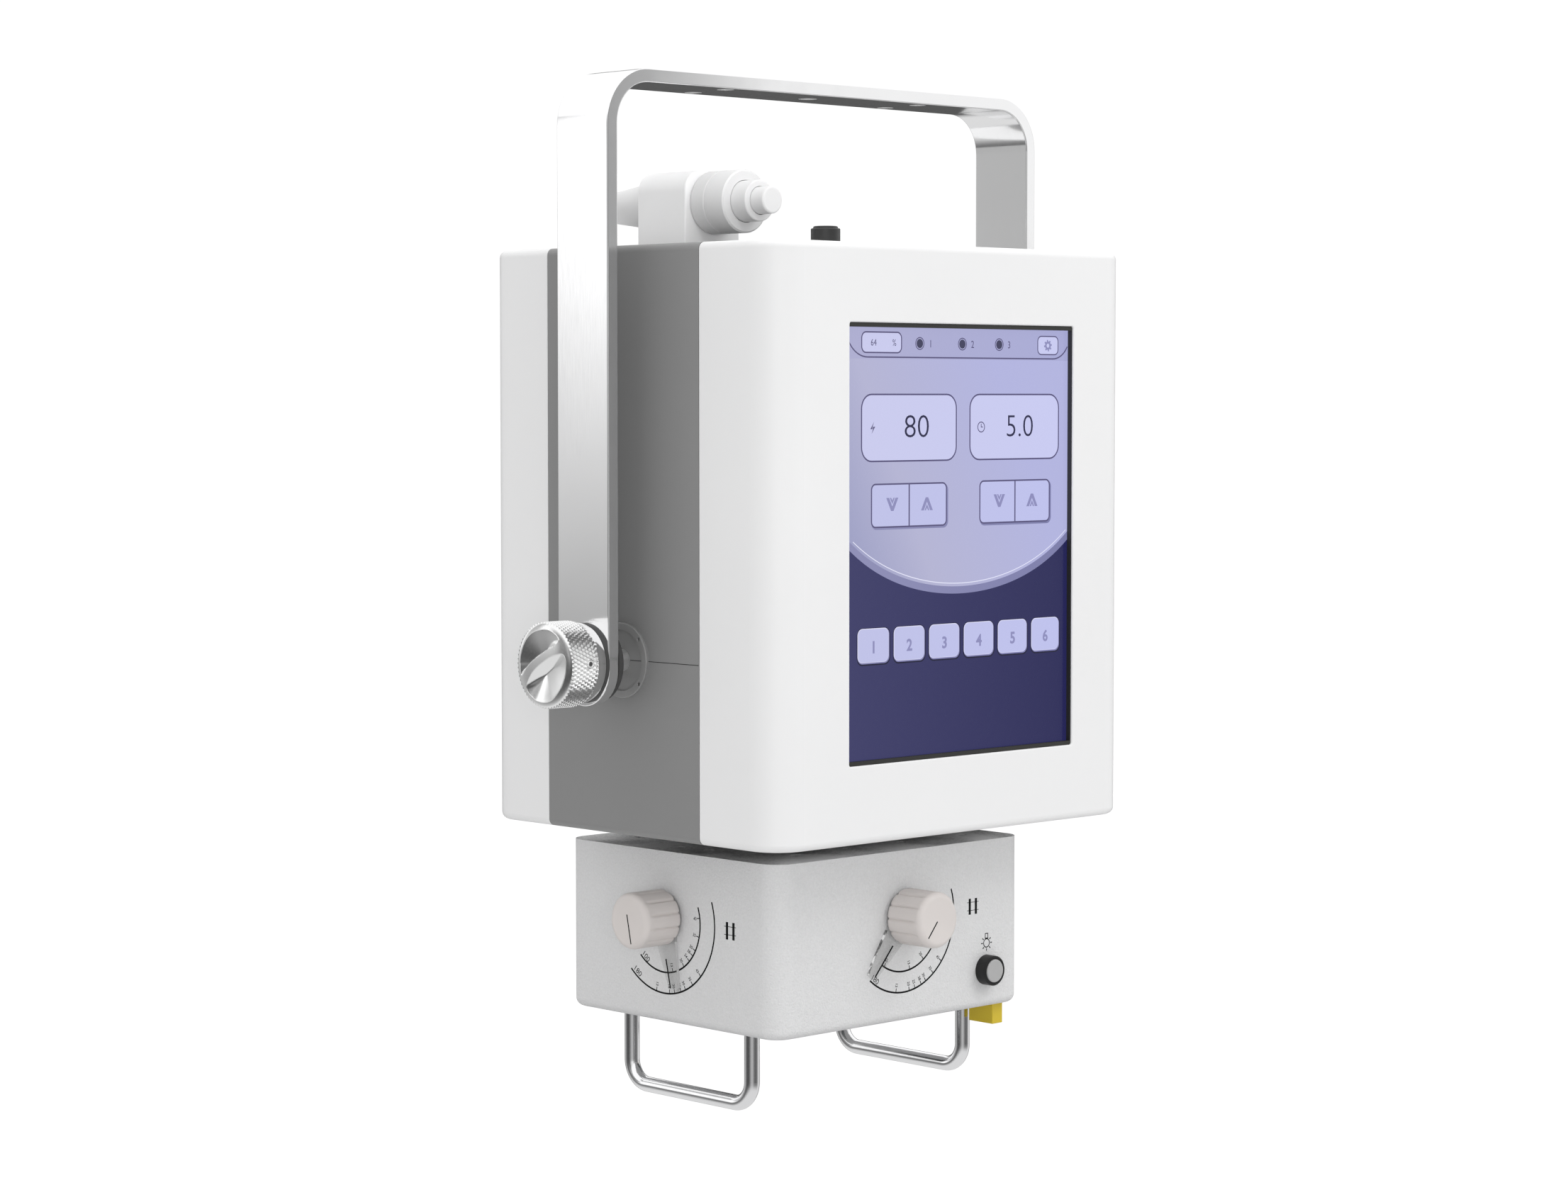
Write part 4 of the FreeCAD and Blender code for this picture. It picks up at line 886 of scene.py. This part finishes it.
# lamp symbol above the lamp button
f = Flat(on_front, 0.0, 0.03)
LX, LZ = 63.1, 76.7
f.ring((LX, LZ), 1.98, 2.50, 48)
f.stroke([(LX - 1.0, LZ + 2.6), (LX - 1.0, LZ + 5.1), (LX + 1.0, LZ + 5.1), (LX + 1.0, LZ + 2.6)], 0.48, closed=True)
for a in (0, 180, 225, 270, 315, 40, 140):
    d = (math.cos(math.radians(a)), math.sin(math.radians(a)))
    f.stroke([(LX + d[0] * 2.9, LZ + d[1] * 2.9), (LX + d[0] * 4.2, LZ + d[1] * 4.2)], 0.55)
f.build("lamp_symbol", INK)

# ------------------------------------------------------------------ seam of the two casing halves
verts, faces = [], []


def plate(x0, x1, y0, y1, z0, z1):
    n = len(verts)
    for x in (x0, x1):
        for y in (y0, y1):
            for z in (z0, z1):
                verts.append((x, y, z))
    for q in ((0, 1, 3, 2), (4, 6, 7, 5), (0, 4, 5, 1), (2, 3, 7, 6), (0, 2, 6, 4), (1, 5, 7, 3)):
        faces.append([n + i for i in q])


for s in (-1, 1):
    for y0, y1, x in ((-55.2, 1.45 - 19.2, 131.0), (1.45 + 19.2, 59.8, 131.0), (-14.0, -4.4, 131.4), (7.3, 17.0, 131.4)):
        plate(s * (x - 0.02), s * (x + 0.04), y0, y1, 234.32, 234.68)
finish_mesh("casing_seam", verts, faces, SEAM, "machine", smooth=False)

# ------------------------------------------------------------------ display
NAVY = lit("display_navy", lin(60, 60, 102), lin(36, 36, 84), 1.0)
LAV = lit("display_light", lin(148, 151, 188), lin(174, 176, 218), 1.0, lean=0.5, c_mid=lin(177, 177, 207))
HEAD = lit("display_header", lin(170, 170, 204), lin(164, 166, 208), 1.0)
RIM = lit("display_rim", lin(140, 140, 178), lin(120, 121, 165), 1.0)
BOX = lit("display_box", lin(198, 199, 232), lin(196, 198, 236), 1.0)
KEY = lit("display_key", lin(188, 190, 226), lin(186, 189, 232), 1.0)
LINE = lit("display_line", lin(90, 86, 122), lin(84, 80, 120), 1.0)
GLYPH = lit("display_glyph", lin(140, 140, 182), lin(138, 138, 184), 1.0)
DIGIT = lit("display_digit", lin(44, 44, 72), lin(40, 40, 74), 1.0)
WHITE = lit("display_white", lin(228, 228, 245), lin(222, 224, 246), 1.0)
LAYER = 0.025


def screen_layer(k):
    return Flat(lambda u, v, w: (u, DISPLAY_Y - w, v), 0.002 + k * LAYER, 0.002 + (k + 1) * LAYER)


def ui(name, k, mat, draw):
    f = screen_layer(k)
    draw(f)
    return f.build(name, mat, "machine", "display_glass")


UX0, UX1, UZ0, UZ1 = -79.95, 85.25, 186.4, 402.6
CXU, RZ, RR = 3.4, 270.6, 160.0


def bowl(r, x0=UX0, x1=UX1, n=60):
    pts = []
    for i in range(n + 1):
        x = x0 + (x1 - x0) * i / n
        pts.append((x, RZ + RR - math.sqrt(r * r - (x - CXU) ** 2) + 3.6 * (abs(x - CXU) / 83.0) ** 5))
    return pts


ui("display_base", 0, NAVY, lambda f: f.rect(UX0, UX1, UZ0, UZ1))
ui("display_rim_band", 1, RIM, lambda f: f.strip(bowl(RR + 3.2), bowl(RR - 0.5)))
ui("display_light_area", 1, LAV, lambda f: f.poly(bowl(RR - 0.5) + [(UX1, 386.8), (UX0, 386.8)]))
ui("display_header_area", 1, HEAD, lambda f: f.rect(UX0, UX1, 386.8, UZ1))
ui("display_rim_highlight", 2, WHITE, lambda f: f.strip(bowl(RR - 1.9, -74.5, 84.0), bowl(RR - 2.3, -74.5, 84.0)))


def head_line(f):
    left = [(-64.3 - 15.4 * math.cos(math.radians(a)), 403.1 - 15.4 * math.sin(math.radians(a))) for a in range(6, 91, 6)]
    right = [(73.5 + 13.0 * math.sin(math.radians(a)), 400.7 - 13.0 * math.cos(math.radians(a))) for a in range(0, 63, 6)]
    f.stroke(left + right, 0.7)


ui("display_header_line", 2, LINE, head_line)


def frames(f):
    f.strip(rrect(-68.1, -40.5, 390.3, 399.8, 2.6), rrect(-68.8, -39.8, 389.6, 400.5, 3.3), True)
    f.strip(rrect(62.0, 77.2, 390.2, 399.1, 2.4), rrect(61.4, 77.8, 389.6, 399.7, 3.0), True)
    f.strip(rrect(-68.1, -0.4, 336.1, 368.7, 6.6), rrect(-68.9, 0.4, 335.3, 369.5, 7.4), True)
    f.strip(rrect(10.6, 77.7, 336.1, 368.7, 6.6), rrect(9.8, 78.5, 335.3, 369.5, 7.4), True)
    for x0, x1, z0, z1, xd in ((-61.8, -6.8, 302.3, 324.6, -34.4), (17.4, 71.5, 302.6, 325.0, 44.5)):
        f.strip(rrect(x0 + 0.8, x1 - 0.8, z0 + 0.8, z1 - 0.8, 2.4), rrect(x0, x1, z0, z1, 3.2), True)
        f.rect(xd - 0.45, xd + 0.45, z0 + 0.8, z1 - 0.8)
    # indicator rings
    for x in (-26.9, 4.4, 32.1):
        f.ring((x, 394.75), 2.75, 3.25)


ui("display_frames", 2, LINE, frames)


def boxes(f):
    f.poly(rrect(-68.1, -0.4, 336.1, 368.7, 6.6))
    f.poly(rrect(10.6, 77.7, 336.1, 368.7, 6.6))
    f.poly(rrect(-68.1, -40.5, 390.3, 399.8, 2.6))
    f.poly(rrect(62.0, 77.2, 390.2, 399.1, 2.4))


ui("display_value_boxes", 2, BOX, boxes)


def arrow_keys(f):
    for x0, x1, z0, z1, xd in ((-61.8, -6.8, 302.3, 324.6, -34.4), (17.4, 71.5, 302.6, 325.0, 44.5)):
        a = rrect(x0 + 0.8, x1 - 0.8, z0 + 0.8, z1 - 0.8, 2.4)
        lft = sorted([p for p in a if p[0] < xd], key=lambda p: math.atan2(p[1] - (z0 + z1) / 2, p[0] - (x0 + xd) / 2))
        rgt = sorted([p for p in a if p[0] > xd], key=lambda p: math.atan2(p[1] - (z0 + z1) / 2, p[0] - (x1 + xd) / 2))
        for pts, e in ((lft, xd - 0.45), (rgt, xd + 0.45)):
            pts = pts + [(e, z0 + 0.8), (e, z1 - 0.8)]
            cx = sum(p[0] for p in pts) / len(pts)
            cz = (z0 + z1) / 2
            pts = sorted(pts, key=lambda p: math.atan2(p[1] - cz, p[0] - cx))
            f.poly(pts)


ui("display_arrow_keys", 2, KEY, arrow_keys)


def arrow_shadow():
    f = Flat(lambda u, v, w: (u, DISPLAY_Y - w, v), 0.030, 0.061)
    for x0, x1, z0, z1 in ((-61.8, -6.8, 302.3, 324.6), (17.4, 71.5, 302.6, 325.0)):
        f.poly(rrect(x0 + 0.3, x1 + 0.9, z0 - 0.9, z1 - 0.6, 3.4))
    return f.build("display_arrow_shadow", RIM, "machine", "display_glass")


arrow_shadow()
KEYS = [(-71.2, -48.5), (-45.4, -22.8), (-19.7, 2.9), (6.0, 28.6), (31.7, 54.2), (57.4, 79.2)]


def key_shadow(f):
    for x0, x1 in KEYS:
        f.poly(rrect(x0 - 0.5, x1 + 0.6, 233.7, 252.6, 3.9))


KSH = lit("display_key_shadow", lin(34, 34, 60), lin(28, 28, 56), 1.0)
ui("display_key_shadows", 1, KSH, key_shadow)
KLOW = lit("display_key_low", lin(128, 128, 170), lin(122, 122, 172), 1.0)
KHIGH = lit("display_key_high", lin(212, 212, 236), lin(208, 209, 240), 1.0)
ui("display_key_low_edges", 2, KLOW, lambda f: [f.poly(rrect(x0, x1, 234.5, 252.3, 3.5)) for x0, x1 in KEYS])
ui("display_key_high_edges", 3, KHIGH, lambda f: [f.poly(rrect(x0, x1 - 0.55, 234.5 + 0.65, 252.3, 3.3)) for x0, x1 in KEYS])
ui("display_keys", 4, KEY, lambda f: [f.poly(rrect(x0 + 0.4, x1 - 0.8, 234.5 + 0.9, 252.3 - 0.45, 3.0)) for x0, x1 in KEYS])


def key_numbers(f):
    for i, (x0, x1) in enumerate(KEYS):
        f.text(str(i + 1), ((x0 + x1) / 2, 242.8), height=6.2, weight=0.03)


ui("display_key_numbers", 5, GLYPH, key_numbers)


def chevrons(f):
    for x, z, s in ((-46.6, 314.0, 1), (-21.5, 313.8, -1), (32.5, 314.3, 1), (57.6, 314.2, -1)):
        def T(pts):
            f.poly([(x + a, z + s * b) for a, b in (pts if s > 0 else pts[::-1])])
        # outer bold vee and a small one inside it
        T([(-4.3, 3.3), (-0.9, -3.3), (0.0, -3.3), (0.0, -1.1), (-2.3, 3.3)])
        T([(0.0, -3.3), (0.9, -3.3), (4.3, 3.3), (2.3, 3.3), (0.0, -1.1)])
        T([(-1.75, 3.3), (0.0, 0.1), (0.0, 1.9), (-0.8, 3.3)])
        T([(0.0, 0.1), (1.75, 3.3), (0.8, 3.3), (0.0, 1.9)])


ui("display_chevrons", 3, GLYPH, chevrons)


def digits(f):
    f.text("80", (-29.0, 353.1), height=11.2, width=17.5, weight=-0.012)
    f.text("5.0", (48.1, 352.9), height=11.1, width=20.0, weight=-0.012)


ui("display_digits", 3, DIGIT, digits)


def small_marks(f):
    f.text("64", (-60.0, 395.0), height=3.3, squeeze=0.9)
    f.text("%", (-45.3, 395.0), height=3.3, squeeze=0.9)
    for x, t in ((-19.0, "1"), (12.0, "2"), (39.6, "3")):
        f.text(t, (x, 394.7), height=3.7, squeeze=0.9)
    # bolt and clock pictograms in the value boxes
    bx, bz = -60.6, 352.4
    f.poly([(bx + 0.9, bz + 3.0), (bx - 1.7, bz - 0.6), (bx - 0.1, bz - 0.6), (bx - 0.2, bz + 0.5)])
    f.poly([(bx - 0.9, bz - 3.0), (bx + 1.7, bz + 0.6), (bx + 0.1, bz + 0.6), (bx + 0.2, bz - 0.5)])
    cx, cz = 18.6, 352.4
    f.ring((cx, cz), 2.3, 2.8)
    f.stroke([(cx, cz + 1.7), (cx, cz), (cx + 1.3, cz)], 0.45)


ui("display_small_marks", 3, LINE, small_marks)
DOT = lit("display_dot", lin(66, 66, 92), lin(60, 60, 90), 1.0)
ui("display_indicators", 2, DOT, lambda f: [f.disc((x, 394.75), 2.3) for x in (-26.9, 4.4, 32.1)])


def gear(f):
    cx, cz = 69.6, 394.6
    inner, outer = [], []
    for i in range(64):
        a = 2 * math.pi * i / 64
        inner.append((cx + 1.05 * math.cos(a), cz + 1.05 * math.sin(a)))
        r = 3.0 if (i % 8) < 4 else 2.2
        outer.append((cx + r * math.cos(a), cz + r * math.sin(a)))
    f.strip(inner, outer, True)


ui("display_gear", 3, GLYPH, gear)

# ------------------------------------------------------------------ floor, light, world
me = bpy.data.meshes.new("floor")
S, Z = 40.0, -0.0003
me.from_pydata([(-S, -S, Z), (S, -S, Z), (S, S, Z), (-S, S, Z)], [], [(0, 1, 2, 3)])
floor = link(bpy.data.objects.new("floor", me))
fm = bpy.data.materials.new("floor")
fm.use_nodes = True
nt = fm.node_tree
for n in list(nt.nodes):
    nt.nodes.remove(n)
pale = nt.nodes.new("ShaderNodeBsdfDiffuse")
pale.inputs["Color"].default_value = (0.63, 0.63, 0.63, 1)
glow = nt.nodes.new("ShaderNodeEmission")
glow.inputs["Strength"].default_value = 1.12
seen = nt.nodes.new("ShaderNodeLightPath")
share = nt.nodes.new("ShaderNodeMapRange")
share.inputs["To Max"].default_value = 0.88
mix = nt.nodes.new("ShaderNodeMixShader")
fo = nt.nodes.new("ShaderNodeOutputMaterial")
nt.links.new(seen.outputs["Is Camera Ray"], share.inputs["Value"])
nt.links.new(share.outputs["Result"], mix.inputs["Fac"])
nt.links.new(pale.outputs["BSDF"], mix.inputs[1])
nt.links.new(glow.outputs["Emission"], mix.inputs[2])
nt.links.new(mix.outputs["Shader"], fo.inputs["Surface"])
me.materials.append(fm)
floor.visible_glossy = False


def area(name, loc, target, size, energy, colour=(1, 1, 1), size_y=None):
    d = bpy.data.lights.new(name, "AREA")
    d.energy = energy
    d.size = size
    if size_y:
        d.shape = "RECTANGLE"
        d.size_y = size_y
    d.color = colour
    o = link(bpy.data.objects.new(name, d))
    o.location = loc
    o.rotation_euler = (Vector(target) - Vector(loc)).to_track_quat("-Z", "Y").to_euler()
    o.visible_camera = False
    o.visible_glossy = False
    return o


area("key", (1.3, -2.3, 2.9), (0, 0, 0.28), 1.8, 25.5)
area("top", (-0.4, 0.2, 3.0), (0, 0, 0.3), 2.2, 14.0)
area("fill", (-2.0, -2.1, 0.40), (0, 0, 0.16), 1.0, 13.0)
spot = area("switch_light", (-0.62, -0.62, 1.25), (-0.071, -0.015, 0.472), 0.05, 0.0030)
spot.data.spread = math.radians(6)


def card(name, corners, x_from, x_to, e_from, e_to):
    # a reflector that shows only in polished metal; its brightness runs along one axis
    me = bpy.data.meshes.new(name)
    me.from_pydata(corners, [], [(0, 1, 2, 3)])
    o = link(bpy.data.objects.new(name, me))
    m = bpy.data.materials.new(name)
    m.use_nodes = True
    t = m.node_tree
    for n in list(t.nodes):
        t.nodes.remove(n)
    c = t.nodes.new("ShaderNodeTexCoord")
    x = t.nodes.new("ShaderNodeSeparateXYZ")
    r = t.nodes.new("ShaderNodeMapRange")
    r.interpolation_type = "SMOOTHSTEP"
    r.inputs["From Min"].default_value = x_from
    r.inputs["From Max"].default_value = x_to
    r.inputs["To Min"].default_value = e_from
    r.inputs["To Max"].default_value = e_to
    e = t.nodes.new("ShaderNodeEmission")
    u = t.nodes.new("ShaderNodeOutputMaterial")
    t.links.new(c.outputs["Object"], x.inputs["Vector"])
    t.links.new(x.outputs["X"], r.inputs["Value"])
    t.links.new(r.outputs["Result"], e.inputs["Strength"])
    t.links.new(e.outputs["Emission"], u.inputs["Surface"])
    me.materials.append(m)
    o.visible_camera = False
    o.visible_diffuse = False
    o.visible_transmission = False
    o.visible_shadow = False
    return o


card("card_front", [(0.44, -0.76, 0.46), (1.5, -0.76, 0.46), (1.5, -0.76, 1.3), (0.44, -0.76, 1.3)], 0.50, 0.70, 0.38, 1.0)
card("card_back", [(-0.62, 0.60, 0.34), (-0.44, 0.66, 0.34), (-0.44, 0.66, 0.72), (-0.62, 0.60, 0.72)], -0.62, -0.44, 0.50, 0.50)

world = bpy.data.worlds.new("studio")
scene.world = world
world.use_nodes = True
wt = world.node_tree
for n in list(wt.nodes):
    wt.nodes.remove(n)


def wn(kind, **kw):
    n = wt.nodes.new(kind)
    for k, v in kw.items():
        setattr(n, k, v)
    return n


def wrange(src, f0, f1, t0=0.0, t1=1.0, smooth=True):
    n = wn("ShaderNodeMapRange")
    if smooth:
        n.interpolation_type = "SMOOTHSTEP"
    n.inputs["From Min"].default_value = f0
    n.inputs["From Max"].default_value = f1
    n.inputs["To Min"].default_value = t0
    n.inputs["To Max"].default_value = t1
    wt.links.new(src, n.inputs["Value"])
    return n.outputs["Result"]


def wmix(fac, a, b):
    n = wn("ShaderNodeMix", data_type="RGBA")
    sock = {s.identifier: s for s in n.inputs}
    wt.links.new(fac, sock["Factor_Float"])
    for s, v in ((sock["A_Color"], a), (sock["B_Color"], b)):
        if isinstance(v, float):
            s.default_value = (v, v, v, 1)
        else:
            wt.links.new(v, s)
    return [q for q in n.outputs if q.identifier == "Result_Color"][0]


def wramp(src, stops):
    n = wn("ShaderNodeValToRGB")
    e = n.color_ramp.elements
    while len(e) < len(stops):
        e.new(0.5)
    for i, (a, v) in enumerate(stops):
        e[i].position = (a + 180) / 360
        e[i].color = (v, v, v, 1)
    wt.links.new(src, n.inputs["Fac"])
    return n.outputs["Color"]


out = wn("ShaderNodeOutputWorld")
tc = wn("ShaderNodeTexCoord")
sep = wn("ShaderNodeSeparateXYZ")
wt.links.new(tc.outputs["Generated"], sep.inputs["Vector"])
up_z = sep.outputs["Z"]
# light for matt surfaces: brighter overhead
sky = wn("ShaderNodeCombineColor")
sky_v = wrange(up_z, -0.1, 0.8, 0.56, 1.25, smooth=False)
# studio seen in polished metal, by compass direction, low and level, then the ceiling and the floor
az = wn("ShaderNodeMath", operation="ARCTAN2")
wt.links.new(sep.outputs["Y"], az.inputs[0])
wt.links.new(sep.outputs["X"], az.inputs[1])
azn = wrange(az.outputs[0], -math.pi, math.pi, smooth=False)
# the left of the studio is dimmer
dim = wn("ShaderNodeMath", operation="MULTIPLY")
wt.links.new(sky_v, dim.inputs[0])
wt.links.new(wramp(azn, [(-180, 0.80), (-150, 0.82), (-120, 0.92), (-90, 1.0), (0, 1.0), (90, 0.94), (150, 0.82)]), dim.inputs[1])
for c in ("Red", "Green", "Blue"):
    wt.links.new(dim.outputs[0], sky.inputs[c])
low = wramp(azn, [(-180, 0.13), (-172, 0.14), (-158, 0.28), (-140, 0.50), (-126, 0.50), (-110, 0.30), (-95, 0.15), (-66, 0.14),
                  (-44, 0.32), (-26, 0.80), (0, 0.74), (20, 0.10), (70, 0.10), (90, 0.50), (112, 0.48), (128, 0.24), (144, 0.10), (160, 0.08)])
mid = wramp(azn, [(-180, 0.16), (-172, 0.20), (-158, 0.60), (-140, 0.95), (-126, 0.95), (-110, 0.55), (-95, 0.16), (-66, 0.14),
                  (-44, 0.34), (-26, 0.85), (0, 0.90), (22, 0.07), (70, 0.07), (90, 0.7), (104, 1.20), (112, 0.70), (120, 0.55), (124, 0.80), (127.5, 1.40), (134.5, 1.40), (139.5, 0.30), (150, 0.26), (158, 0.55), (166, 0.25)])
rise = wn("ShaderNodeMath", operation="POWER")
wt.links.new(wrange(up_z, -0.19, 0.047, smooth=False), rise.inputs[0])
rise.inputs[1].default_value = 2.5
walls = wmix(rise.outputs[0], low, mid)
walls = wmix(wrange(up_z, 0.15, 0.36), walls, 1.15)
walls = wmix(wrange(up_z, -0.20, -0.62), walls, 0.80)
lp = wn("ShaderNodeLightPath")
shown = wmix(lp.outputs["Is Glossy Ray"], sky.outputs["Color"], walls)
shown = wmix(lp.outputs["Is Camera Ray"], shown, 1.02)
bg = wn("ShaderNodeBackground")
wt.links.new(shown, bg.inputs["Color"])
wt.links.new(bg.outputs["Background"], out.inputs["Surface"])
